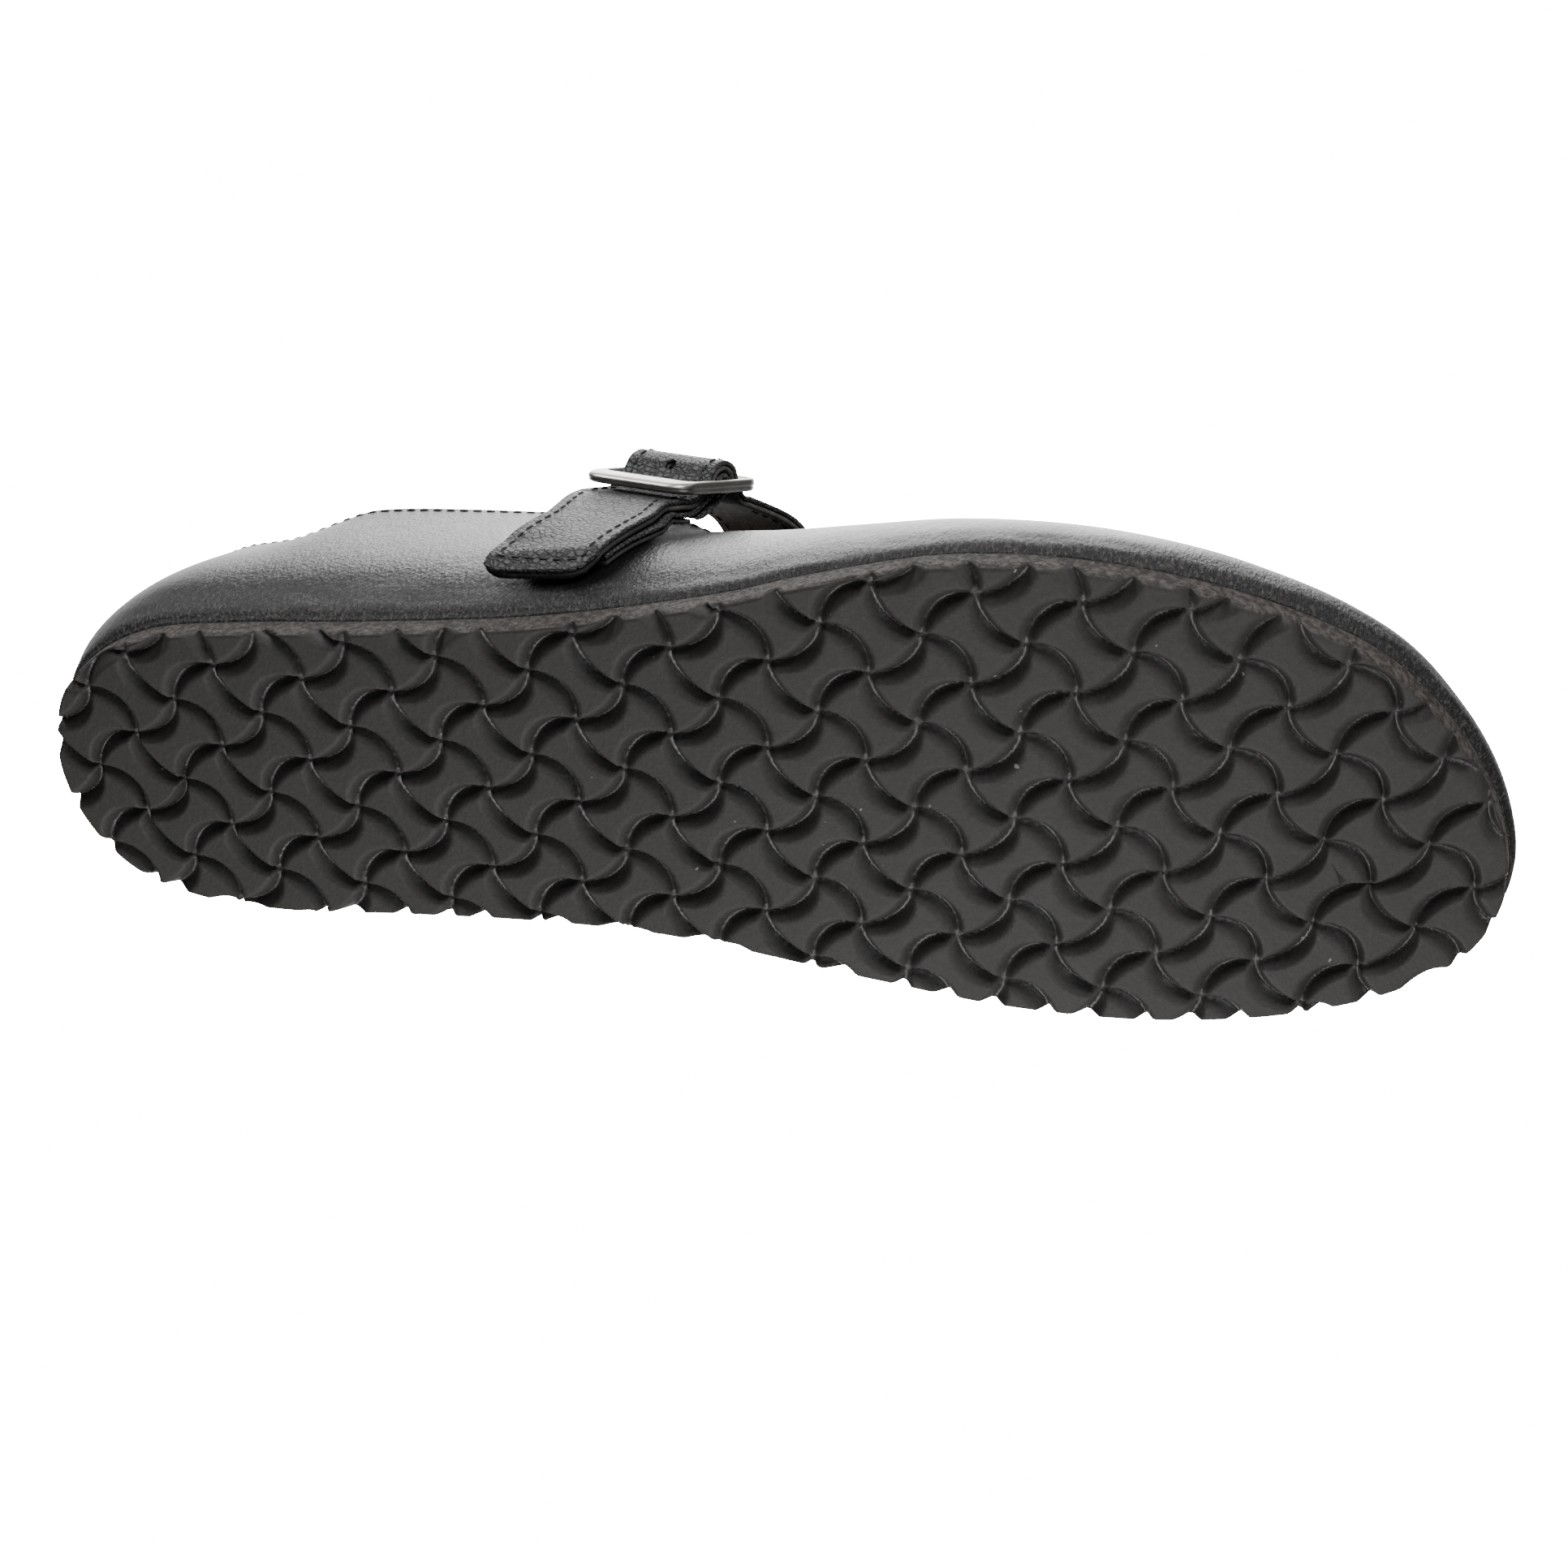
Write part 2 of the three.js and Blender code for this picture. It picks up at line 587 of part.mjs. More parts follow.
const strapBackingWhole = strip(
  longPath, tailHinge + hingeGap / 2, longPath.length, 60, 2, liningLayer, strapLining, longHalfWidth,
);
const tailOuter = strip(
  longPath, 0, tailHinge - hingeGap / 2, 12, 8, 0, strapLeather, longHalfWidth, endSlant,
);
const tailBacking = strip(
  longPath, 0, tailHinge - hingeGap / 2, 12, 8, liningLayer, strapLining, longHalfWidth, endSlant,
);

// The prong hangs on the centre bar and lies on the thin bar. It passes through a stretched hole.
const eyeInner = centreBarRadius + 0.15;
const eyeOuter = eyeInner + 0.8;
const prongWidth = 2 * prongRadius + 0.6;
const prongRest = buckleThickness / 2 + gap + prongRadius;
const prongStart = inBuckle(0, eyeInner + 0.3, 0.9);
const prongTip = inBuckle(0, centreToThin + thinBar / 2 - 0.4, prongRest);
const eyeRing = toSolid(rod(inBuckle(-prongWidth / 2, 0, 0), inBuckle(prongWidth / 2, 0, 0), eyeOuter, 20))
  .subtract(toSolid(rod(inBuckle(-9, 0, 0), inBuckle(9, 0, 0), eyeInner, 20)));
const prongTipBall = new THREE.SphereGeometry(prongRadius, 12, 8).translate(...prongTip.toArray());
const prong = toGeometry(
  toSolid(rod(prongStart, prongTip, prongRadius, 12)).add(toSolid(prongTipBall)).add(eyeRing),
);

// Punched holes: the one that the prong fills is pulled long, the next stays round.
const prongLine = prongTip.clone().sub(prongStart).normalize();
const prongSlot = (rise) =>
  toSolid(
    rod(
      prongStart.clone().addScaledVector(prongLine, 0.4).addScaledVector(out, rise),
      prongTip.clone().addScaledVector(out, rise),
      holeRadius,
      14,
    ),
  );
const freeHoleDistance = distanceTo(longPath, inBuckle(0, -strapRadius * 0.68, strapRadius * 0.76));
const freeHoleFrame = longPath.frameAt(freeHoleDistance);
const freeHole = toSolid(
  rod(
    freeHoleFrame.place.clone().addScaledVector(freeHoleFrame.normal, 1),
    freeHoleFrame.place.clone().addScaledVector(freeHoleFrame.normal, -strapThickness - 0.2),
    holeRadius,
    14,
  ),
);
const holes = prongSlot(-0.3).add(prongSlot(0.3)).add(prongSlot(0.9)).add(freeHole);
const strapOuter = toGeometry(toSolid(strapOuterWhole).subtract(holes));
const strapBacking = toGeometry(toSolid(strapBackingWhole).subtract(holes));

// The buckle's strap climbs the outer side, loops over the centre bar and turns back under itself.
const loopMiddle = (degrees) => {
  const turn = THREE.MathUtils.degToRad(degrees);
  return inBuckle(0, loopOuter * Math.sin(turn), loopOuter * Math.cos(turn));
};
const runDepth = underBar - strapThickness - gap; // outer face of the run beneath the long strap
const shortRun = buckleHeight - wideBar - shortFoot;
const shortStandOff = gap + loopLeather + gap + strapLining;
const shortPath = strapPath([
  onOuterWall(shortFoot, shortStandOff),
  onOuterWall(shortFoot + shortRun * 0.4, shortStandOff),
  onOuterWall(shortFoot + shortRun * 0.7, shortStandOff),
  inBuckle(0, wideBarStart, runDepth - 0.1),
  inBuckle(0, wideBarEnd - 0.5, runDepth),
  inBuckle(0, wideBarEnd + 2.6, runDepth + 1.4),
  inBuckle(0, -loopOuter - 1.1, -0.9),
  loopMiddle(-62),
  loopMiddle(0),
  loopMiddle(60),
  loopMiddle(115),
  loopMiddle(165),
  inBuckle(0, -2.6, -loopOuter - 2.2),
  inBuckle(0, wideBarEnd + 1.2, runDepth - loopLeather - gap - loopLeather - 0.05),
], () => shortStandOff);
const shortHalfWidth = () => strapWidth / 2;
const shortWhole = strip(shortPath, 0, shortPath.length, 72, 2, 0, loopLeather, shortHalfWidth);
const slotForEye = new THREE.BoxGeometry(prongWidth + 1.2, 2 * eyeOuter + 5, 2 * eyeOuter + 3.4);
slotForEye.applyMatrix4(new THREE.Matrix4().makeBasis(across, up, out));
slotForEye.translate(...inBuckle(0, 1.4, 0.6).toArray());
const buckleStrapOuter = toGeometry(toSolid(shortWhole).subtract(toSolid(slotForEye)));
const backingEnd = distanceTo(shortPath, inBuckle(0, wideBarEnd - 0.8, runDepth));
const buckleStrapBacking = strip(
  shortPath, 0, backingEnd, 20, 2, loopLeather + gap, strapLining, shortHalfWidth,
);

// ---- Buckle ----
function roundedRectangle(shape, x0, x1, y0, y1, radius) {
  shape.moveTo(x0 + radius, y0);
  shape.lineTo(x1 - radius, y0);
  shape.absarc(x1 - radius, y0 + radius, radius, -Math.PI / 2, 0, false);
  shape.lineTo(x1, y1 - radius);
  shape.absarc(x1 - radius, y1 - radius, radius, 0, Math.PI / 2, false);
  shape.lineTo(x0 + radius, y1);
  shape.absarc(x0 + radius, y1 - radius, radius, Math.PI / 2, Math.PI, false);
  shape.lineTo(x0, y0 + radius);
  shape.absarc(x0 + radius, y0 + radius, radius, Math.PI, 1.5 * Math.PI, false);
  return shape;
}
const bevel = 0.45;
const frameShape = roundedRectangle(
  new THREE.Shape(),
  -buckleWidth / 2 + bevel, buckleWidth / 2 - bevel,
  wideBarStart + bevel, wideBarStart + buckleLength - bevel,
  3,
);
frameShape.holes.push(
  roundedRectangle(
    new THREE.Path(),
    -buckleWidth / 2 + sideBar - bevel, buckleWidth / 2 - sideBar + bevel,
    wideBarEnd - bevel, centreToThin - thinBar / 2 + bevel,
    1.2,
  ),
);
const framePlate = new THREE.ExtrudeGeometry(frameShape, {
  depth: buckleThickness - 2 * bevel,
  bevelThickness: bevel,
  bevelSize: bevel,
  bevelSegments: 2,
  curveSegments: 5,
});
framePlate.translate(0, 0, -buckleThickness / 2 + bevel);
framePlate.applyMatrix4(new THREE.Matrix4().makeBasis(across, up, out).setPosition(buckleOrigin));
const barHole = rod(inBuckle(-buckleWidth, 0, 0), inBuckle(buckleWidth, 0, 0), centreBarRadius + 0.1, 20);
const buckleFrame = toGeometry(toSolid(framePlate).subtract(toSolid(barHole)));
const halfBar = buckleWidth / 2 - 0.3;
const centreBar = rod(inBuckle(-halfBar, 0, 0), inBuckle(halfBar, 0, 0), centreBarRadius, 20);

// ---- The assembly ----
const black = "#17171a";
const shoe = new THREE.Group();
function add(name, geometry, material) {
  const mesh = new THREE.Mesh(geometry, material);
  mesh.name = name;
  shoe.add(mesh);
}
add("outsole", outsole, finish("#3b3936", 0.85));
add("lower_jute", lowerJute, finish("#a08a63", 0.95));
add("cork_footbed", cork, finish("#a9794a", 0.9));
add("upper_jute", upperJute, finish("#a08a63", 0.95));
add("footbed_suede", footbedSuede, finish("#8a7358", 0.95));
add("upper_leather", upperLeather, finish(black, 0.45));
add("upper_lining", upperLining, finish("#4a4038", 0.9));
add("toe_puff", toePuff, finish("#c9c4b8", 0.8));
add("heel_counter", heelCounter, finish("#c9c4b8", 0.8));
add("top_edge_tape", topTape, finish("#2a2a2a", 0.9));
add("heel_grip", heelGrip, finish("#4d4238", 0.95));
add("strap_leather", strapOuter, finish(black, 0.5));
add("strap_lining", strapBacking, finish("#5a5148", 0.95));
add("strap_tail_leather", tailOuter, finish(black, 0.5));
add("strap_tail_lining", tailBacking, finish("#3c3833", 0.95));
add("buckle_strap_leather", buckleStrapOuter, finish(black, 0.5));
add("buckle_strap_lining", buckleStrapBacking, finish("#3c3833", 0.95));
add("buckle_frame", buckleFrame, finish("#b9b8b4", 0.3, 1));
add("buckle_centre_bar", centreBar, finish("#a9a8a4", 0.35, 1));
add("buckle_prong", prong, finish("#b9b8b4", 0.3, 1));

const box = new THREE.Box3().setFromObject(shoe);
shoe.position.set(-(box.min.x + box.max.x) / 2, -(box.min.y + box.max.y) / 2, -box.min.z);

export default shoe;
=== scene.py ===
import json
import math

import bpy
import numpy as np
from mathutils import Matrix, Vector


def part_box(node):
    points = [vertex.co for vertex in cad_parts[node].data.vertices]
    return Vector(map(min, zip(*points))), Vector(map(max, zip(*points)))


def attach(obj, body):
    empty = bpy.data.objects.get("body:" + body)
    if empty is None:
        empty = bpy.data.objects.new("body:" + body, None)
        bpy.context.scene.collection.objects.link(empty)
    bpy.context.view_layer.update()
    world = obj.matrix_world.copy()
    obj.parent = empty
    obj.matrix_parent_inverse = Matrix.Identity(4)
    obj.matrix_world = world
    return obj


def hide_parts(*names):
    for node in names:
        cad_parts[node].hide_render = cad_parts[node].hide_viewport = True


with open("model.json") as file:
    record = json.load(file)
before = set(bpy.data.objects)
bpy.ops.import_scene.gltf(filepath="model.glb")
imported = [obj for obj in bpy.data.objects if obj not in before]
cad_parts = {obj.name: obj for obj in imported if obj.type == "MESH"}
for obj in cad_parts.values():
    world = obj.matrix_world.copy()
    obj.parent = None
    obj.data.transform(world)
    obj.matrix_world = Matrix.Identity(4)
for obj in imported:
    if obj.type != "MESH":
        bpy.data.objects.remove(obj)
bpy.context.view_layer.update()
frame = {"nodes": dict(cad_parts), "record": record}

# ---- Stage: floor, sky, lamps and camera ----
# The shoe is seen from below its outer side, so the floor shows only from above: it is clear from
# underneath and casts no shadow. Pale sky, large soft lamps.
CAMERA_PLACE = (0.10685, -0.2516, -0.3709)
CAMERA_RIGHT = (0.96596, -0.00790, 0.25857)
CAMERA_DOWN = (0.14792, 0.83686, -0.52705)
CAMERA_LENS = 61.98


class Shade:
    """A material's node tree. node() adds any node; the result is its first output as a Socket."""

    def __init__(self, tree):
        self.tree = tree

    def node(self, kind, settings=None, output=0, **inputs):
        """A node of a type, with its settings made first, then its sockets' values or links."""
        made = self.tree.nodes.new(kind)
        for key, value in (settings or {}).items():
            if key == "stops":
                ramp = made.color_ramp
                while len(ramp.elements) < len(value):
                    ramp.elements.new(0.5)
                for element, (at, colour) in zip(ramp.elements, value):
                    element.position = at
                    element.color = colour if len(colour) == 4 else (*colour, 1)
            else:
                setattr(made, key, value)
        for key, value in inputs.items():
            name = key.replace("_", " ")
            index = int(key[1:]) if key[0] == "i" and key[1:].isdigit() else name
            socket = made.inputs[index]
            if isinstance(value, Socket):
                self.tree.links.new(value.socket, socket)
            else:
                socket.default_value = value
        return Socket(self, made.outputs[output])


class Socket:
    """A node's output, so that shader maths reads as plain expressions."""

    def __init__(self, shade, socket):
        self.shade = shade
        self.socket = socket

    def _maths(self, operation, *values, clamp=False):
        inputs = {f"i{k}": v for k, v in enumerate(values)}
        settings = {"operation": operation, "use_clamp": clamp}
        return self.shade.node("ShaderNodeMath", settings, **inputs)

    def __add__(self, other):
        return self._maths("ADD", self, other)

    __radd__ = __add__

    def __sub__(self, other):
        return self._maths("SUBTRACT", self, other)

    def __rsub__(self, other):
        return self._maths("SUBTRACT", other, self)

    def __mul__(self, other):
        return self._maths("MULTIPLY", self, other)

    __rmul__ = __mul__

    def __pow__(self, other):
        return self._maths("POWER", self, other)

    def smooth(self, low, high):
        """0 below low, 1 above high, eased between them."""
        settings = {"interpolation_type": "SMOOTHSTEP"}
        return self.shade.node(
            "ShaderNodeMapRange", settings, Value=self, From_Min=low, From_Max=high
        )

    def mix(self, first, second):
        """A colour that is first where this is 0 and second where it is 1."""
        settings = {"data_type": "RGBA"}
        return self.shade.node("ShaderNodeMix", settings, output=2, i0=self, i6=first, i7=second)


def rgb(red, green, blue):
    return (red, green, blue, 1.0)


def finish_material(name, recipe):
    """A material whose recipe(shade) returns the shader's inputs and, under "height" and "bump",
    its relief and how deep that is in metres."""
    material = bpy.data.materials.new(name)
    material.use_nodes = True
    shade = Shade(material.node_tree)
    shader = material.node_tree.nodes["Principled BSDF"]
    made = recipe(shade)
    height = made.pop("height", None)
    depth = made.pop("bump", 0.0002)
    if height is not None:
        normal = shade.node("ShaderNodeBump", Height=height, Strength=1.0, Distance=depth)
        shade.tree.links.new(normal.socket, shader.inputs["Normal"])
    for key, value in made.items():
        socket = shader.inputs[key.replace("_", " ")]
        if isinstance(value, Socket):
            shade.tree.links.new(value.socket, socket)
        else:
            socket.default_value = value
    return material


def noise(shade, scale, detail=3.0, rough=0.5, stretch=(1, 1, 1), seed=0.0):
    """Noise on Object coordinates, of about scale features to the metre."""
    place = shade.node("ShaderNodeTexCoord", output=3)
    moved = shade.node(
        "ShaderNodeMapping", Vector=place, Scale=stretch, Location=(seed, seed, seed)
    )
    settings = {"noise_dimensions": "3D"}
    return shade.node(
        "ShaderNodeTexNoise", settings, Vector=moved, Scale=scale, Detail=detail, Roughness=rough
    )


def cells(shade, scale, feature="F1", stretch=(1, 1, 1), output=0):
    """Voronoi cells on Object coordinates."""
    place = shade.node("ShaderNodeTexCoord", output=3)
    moved = shade.node("ShaderNodeMapping", Vector=place, Scale=stretch)
    return shade.node(
        "ShaderNodeTexVoronoi", {"feature": feature}, output=output, Vector=moved, Scale=scale
    )


def make_mesh(name, points, faces, smooth=True, fields=None):
    """A mesh from an array of points in metres and an array of quads, with equal points welded.
    fields are named values for each point."""
    keys = np.round(points, 7)
    kept, first, back = np.unique(keys, axis=0, return_index=True, return_inverse=True)
    faces = back.reshape(-1)[faces]
    lists = []
    flat = (faces[:, 0] == faces[:, 1]) | (faces[:, 1] == faces[:, 2])
    flat |= (faces[:, 2] == faces[:, 3]) | (faces[:, 3] == faces[:, 0])
    lists.extend(faces[~flat].tolist())
    for quad in faces[flat].tolist():
        corners = list(dict.fromkeys(quad))
        if len(corners) == 3:
            lists.append(corners)
    mesh = bpy.data.meshes.new(name)
    mesh.from_pydata(kept.tolist(), [], lists)
    for field, values in (fields or {}).items():
        mesh.attributes.new(field, "FLOAT", "POINT").data.foreach_set("value", values[first])
    mesh.validate()
    if smooth:
        mesh.shade_smooth()
    made = bpy.data.objects.new(name, mesh)
    bpy.context.scene.collection.objects.link(made)
    return made


def grid_faces(rows, columns, wrap_rows=False, wrap_columns=False, start=0):
    """Quads between the points of a grid that is stored row by row."""
    r = np.arange(rows if wrap_rows else rows - 1)[:, None]
    c = np.arange(columns if wrap_columns else columns - 1)[None, :]
    r1 = (r + 1) % rows
    c1 = (c + 1) % columns
    quads = np.stack(
        [r * columns + c, r1 * columns + c, r1 * columns + c1, r * columns + c1], axis=-1
    )
    return quads.reshape(-1, 4) + start


floor_size = 3.0
corner = floor_size / 2
floor_points = np.array(
    [[-corner, -corner, 0], [corner, -corner, 0], [corner, corner, 0], [-corner, corner, 0]]
)
floor = make_mesh("floor", floor_points - [0, 0, 0.0002], np.array([[0, 1, 2, 3]]), smooth=False)
floor_material = bpy.data.materials.new("floor_paint")
floor_material.use_nodes = True
floor_shade = Shade(floor_material.node_tree)
floor_shader = floor_material.node_tree.nodes["Principled BSDF"]
floor_shader.inputs["Base Color"].default_value = rgb(0.86, 0.86, 0.85)
floor_shader.inputs["Roughness"].default_value = 0.9
from_below = floor_shade.node("ShaderNodeNewGeometry", output=6)
see_through = floor_shade.node("ShaderNodeBsdfTransparent")
painted = Socket(floor_shade, floor_shader.outputs[0])
one_sided = floor_shade.node("ShaderNodeMixShader", i0=from_below, i1=painted, i2=see_through)
floor_output = floor_material.node_tree.nodes["Material Output"]
floor_shade.tree.links.new(one_sided.socket, floor_output.inputs["Surface"])
floor.data.materials.append(floor_material)
floor.visible_shadow = False
floor.visible_diffuse = False
floor.visible_glossy = False

world = bpy.data.worlds.new("sky")
bpy.context.scene.world = world
world.use_nodes = True
sky = Shade(world.node_tree)
sky_output = world.node_tree.nodes["World Output"]
seen_directly = sky.node("ShaderNodeLightPath")
seen_sky = sky.node("ShaderNodeBackground", Color=rgb(1, 1, 1), Strength=40.0)
bearing = sky.node("ShaderNodeTexCoord", output=0)
towards_backdrop = sky.node(
    "ShaderNodeVectorMath", {"operation": "DOT_PRODUCT"}, output=1, i0=bearing, i1=(
        -0.212, 0.547, 0.810
    )
)
brightness = (
    towards_backdrop.smooth(0.52, 1.0) * 1.7 + towards_backdrop.smooth(0.80, 1.0) * 3.6 + 0.045
)
lighting_sky = sky.node("ShaderNodeBackground", Color=rgb(1, 1, 1), Strength=brightness)
both_skies = sky.node("ShaderNodeMixShader", i0=seen_directly, i1=lighting_sky, i2=seen_sky)
sky.tree.links.new(both_skies.socket, sky_output.inputs["Surface"])


def lamp(name, place, aim, size, watts):
    """A large square area lamp at a place, turned to a point."""
    light = bpy.data.lights.new(name, "AREA")
    light.size = size
    light.energy = watts
    made = bpy.data.objects.new(name, light)
    made.location = place
    away = (
        (Matrix.Translation(place).translation - Matrix.Translation(aim).translation).normalized()
    )
    made.rotation_euler = away.to_track_quat("Z", "Y").to_euler()
    bpy.context.scene.collection.objects.link(made)


lamp("lamp_under_inner", (0.05, 0.75, -0.75), (0, 0, 0.02), 0.5, 9.0)
lamp("lamp_under_toe", (0.9, -0.1, -0.5), (0, 0, 0.02), 0.5, 4.0)
lamp("lamp_over", (-0.25, -0.2, 1.3), (0, 0, 0.03), 0.9, 15.0)
lamp("lamp_outer", (0.35, -1.2, -0.15), (0, 0, 0.04), 0.6, 11.0)
lamp("lamp_toe_side", (0.75, -0.8, 0.9), (0.05, 0, 0.02), 0.35, 1.3)
lamp("lamp_heel_side", (-0.8, -1.0, 0.35), (-0.03, -0.03, 0.04), 0.5, 9.0)

right = np.array(CAMERA_RIGHT)
down = np.array(CAMERA_DOWN)
camera_turn = Matrix((right, -down, np.cross(right, -down))).transposed()
camera = bpy.data.objects.new("camera", bpy.data.cameras.new("camera"))
camera.matrix_world = Matrix.Translation(CAMERA_PLACE) @ camera_turn.to_4x4()
camera.data.lens = CAMERA_LENS
camera.data.clip_start = 0.01
bpy.context.scene.collection.objects.link(camera)
bpy.context.scene.camera = camera

# ---- Outsole ----
# One moulded foam plate, glued on under the upper. Its underside is cut by V grooves that follow
# quarter circles and meet at pinwheel crossings; its edge is buffed after gluing.
SOLE_LENGTH = 259.0
SOLE_WIDTH = 88.0
SOLE_THICKNESS = 5.0
TOE_SPRING = 17.0
FLAT_LENGTH = 116.0
OUTLINE = np.array([
    [0, 0.1], [0.01, -0.07], [0.035, -0.16], [0.075, -0.23], [0.14, -0.275], [0.235, -0.32],
    [0.36, -0.39], [0.48, -0.49], [0.55, -0.565], [0.63, -0.63], [0.715, -0.643], [0.81, -0.6],
    [0.9, -0.49], [0.955, -0.33], [0.988, -0.16], [1, 0.005], [0.985, 0.14], [0.945, 0.238],
    [0.88, 0.31], [0.79, 0.35], [0.69, 0.35], [0.6, 0.322], [0.47, 0.286], [0.38, 0.297],
    [0.26, 0.342], [0.165, 0.385], [0.1, 0.388], [0.052, 0.35], [0.017, 0.25],
]) * [SOLE_LENGTH, SOLE_WIDTH]


def rounded_curve(points, position, closed):
    """A centripetal Catmull-Rom curve through points; position counts them, 0 being the first."""
    count = len(points)
    if not closed:
        ahead = 2 * points[:1] - points[1:2]
        behind = 2 * points[-1:] - points[-2:-1]
        padded = np.concatenate([ahead, points, behind])
        whole = np.clip(np.floor(position), 0, count - 2).astype(int)
        p0, p1, p2, p3 = (padded[whole + k] for k in range(4))
    else:
        whole = np.floor(position).astype(int)
        p0, p1, p2, p3 = (points[(whole + k) % count] for k in (-1, 0, 1, 2))
    t = (position - whole)[..., None]

    def root(a, b):
        return np.maximum(np.linalg.norm(a - b, axis=-1, keepdims=True), 1e-9) ** 0.5

    d0, d1, d2 = root(p0, p1), root(p1, p2), root(p2, p3)
    s1 = ((p1 - p0) / d0 - (p2 - p0) / (d0 + d1) + (p2 - p1) / d1) * d1
    s2 = ((p2 - p1) / d1 - (p3 - p1) / (d1 + d2) + (p3 - p2) / d2) * d1
    return p1 + s1 * t + (3 * (p2 - p1) - 2 * s1 - s2) * t**2 + (2 * (p1 - p2) + s1 + s2) * t**3


def outline_at(position):
    """The outline's point at a position that counts its given points from the heel's back."""
    return rounded_curve(OUTLINE, position, True)


around = np.linspace(0, len(OUTLINE), 29001)
HEEL_END = around[outline_at(around)[:, 0].argmin()] % len(OUTLINE)
TOE_END = around[outline_at(around)[:, 0].argmax()]
if HEEL_END > len(OUTLINE) / 2:
    HEEL_END -= len(OUTLINE)


def side_table(first, last):
    """One side of the outline from heel to toe: points and outward directions against x."""
    position = np.linspace(first, last, 3001)
    at = outline_at(position)
    ahead = outline_at(position + 1e-3) - outline_at(position - 1e-3)
    outwards = np.stack([ahead[:, 1], -ahead[:, 0]], axis=-1)
    outwards /= np.linalg.norm(outwards, axis=-1, keepdims=True)
    return np.maximum.accumulate(at[:, 0]), at, outwards


SIDES = {-1: side_table(HEEL_END, TOE_END), 1: side_table(HEEL_END + len(OUTLINE), TOE_END)}
HEEL_X = SIDES[-1][0][0]
TOE_X = SIDES[-1][0][-1]


def edge(side, x):
    """The outline's point at x on one side, -1 outer and 1 inner, and its outward direction."""
    known, at, outwards = SIDES[side]
    point = np.stack([np.interp(x, known, at[:, k]) for k in (0, 1)], axis=-1)
    out = np.stack([np.interp(x, known, outwards[:, k]) for k in (0, 1)], axis=-1)
    return point, out / np.linalg.norm(out, axis=-1, keepdims=True)


def curl(x):
    """How far the sole has curled up off the ground at x: a parabola from the end of its flat."""
    beyond = np.maximum(0, x - FLAT_LENGTH) / (SOLE_LENGTH - FLAT_LENGTH)
    return TOE_SPRING * beyond**2


sole_low, sole_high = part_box("outsole")
every_edge = rounded_curve(OUTLINE, np.linspace(0, len(OUTLINE), 4000), True)
ORIGIN = np.array([
    1000 * (sole_low[0] + sole_high[0]) / 2 - (every_edge[:, 0].min() + every_edge[:, 0].max()) / 2,
    1000 * (sole_low[1] + sole_high[1]) / 2 - (every_edge[:, 1].min() + every_edge[:, 1].max()) / 2,
    1000 * sole_low[2],
])


def metres(points):
    """Points laid out in millimetres from the heel's back, moved into the shared frame."""
    return (points + ORIGIN) * 0.001


def stations(count):
    """x of the cross-sections, evenly spaced round the outer edge from heel to toe, and x of each
    one's point on the spine, which stops short of the ends so that sections fan out there."""
    known, at, _ = SIDES[-1]
    run = np.concatenate([[0], np.cumsum(np.linalg.norm(np.diff(at, axis=0), axis=1))])
    x = np.interp(np.linspace(0, run[-1], count + 1), run, known)
    x[0] = HEEL_X
    x[-1] = TOE_X
    near_heel = np.maximum(0, 1 - x / 60)
    near_toe = np.maximum(0, 1 - (SOLE_LENGTH - x) / 60)
    return x, x + 24 * near_heel**2 - 27 * near_toe**2


TREAD_CELL = 12.0
TREAD_START = 50.04
GROOVE_HALF_WIDTH = 1.95
GROOVE_NARROW = 0.60
GROOVE_DEPTH = 2.6


def tread(x, y):
    """Depth of the tread's grooves. The plane is tiled by squares turned 45 degrees. Every other tile
    has a circle's arcs for its first two sides, the rest for their other two, so each groove is a
    quarter circle about a tile's centre. A groove is a V whose width shrinks towards its ends."""
    s = (x - TREAD_START) / TREAD_CELL
    w = y / TREAD_CELL
    i = (s + w) / math.sqrt(2)
    j = (s - w) / math.sqrt(2)
    cell_i = np.floor(i)
    cell_j = np.floor(j)
    deepest = np.zeros_like(x)
    for step_i, step_j in ((0, 0), (1, 0), (-1, 0), (0, 1), (0, -1)):
        from_i = i - (cell_i + step_i + 0.5)
        from_j = j - (cell_j + step_j + 0.5)
        odd = (cell_i + step_i + cell_j + step_j) % 2 > 0.5
        along = np.where(odd, from_j, from_i)
        beyond = np.where(odd, from_i, from_j)
        angle = np.arctan2(np.abs(along), np.abs(beyond))
        middle = np.clip(np.cos(2 * np.minimum(angle, math.pi / 4)), 0, 1)
        off_arc = np.abs(np.hypot(from_i, from_j) - math.sqrt(0.5)) * TREAD_CELL
        past_end = np.maximum(angle - math.pi / 4, 0) * TREAD_CELL * math.sqrt(0.5)
        away = np.hypot(off_arc, past_end)
        half = GROOVE_NARROW + (GROOVE_HALF_WIDTH - GROOVE_NARROW) * middle**0.7
        wall = np.clip(1 - away / half, 0, 1)
        rounding = 0.07
        eased = np.where(wall < rounding, wall**2 / (2 * rounding), wall - rounding / 2)
        flat_from = 1 - rounding
        over = np.maximum(wall - flat_from, 0)
        eased = (eased - over**2 / (2 * rounding)) / (1 - rounding)
        depth = GROOVE_DEPTH * (0.72 + 0.28 * middle)
        deepest = np.maximum(deepest, depth * eased)
    return deepest


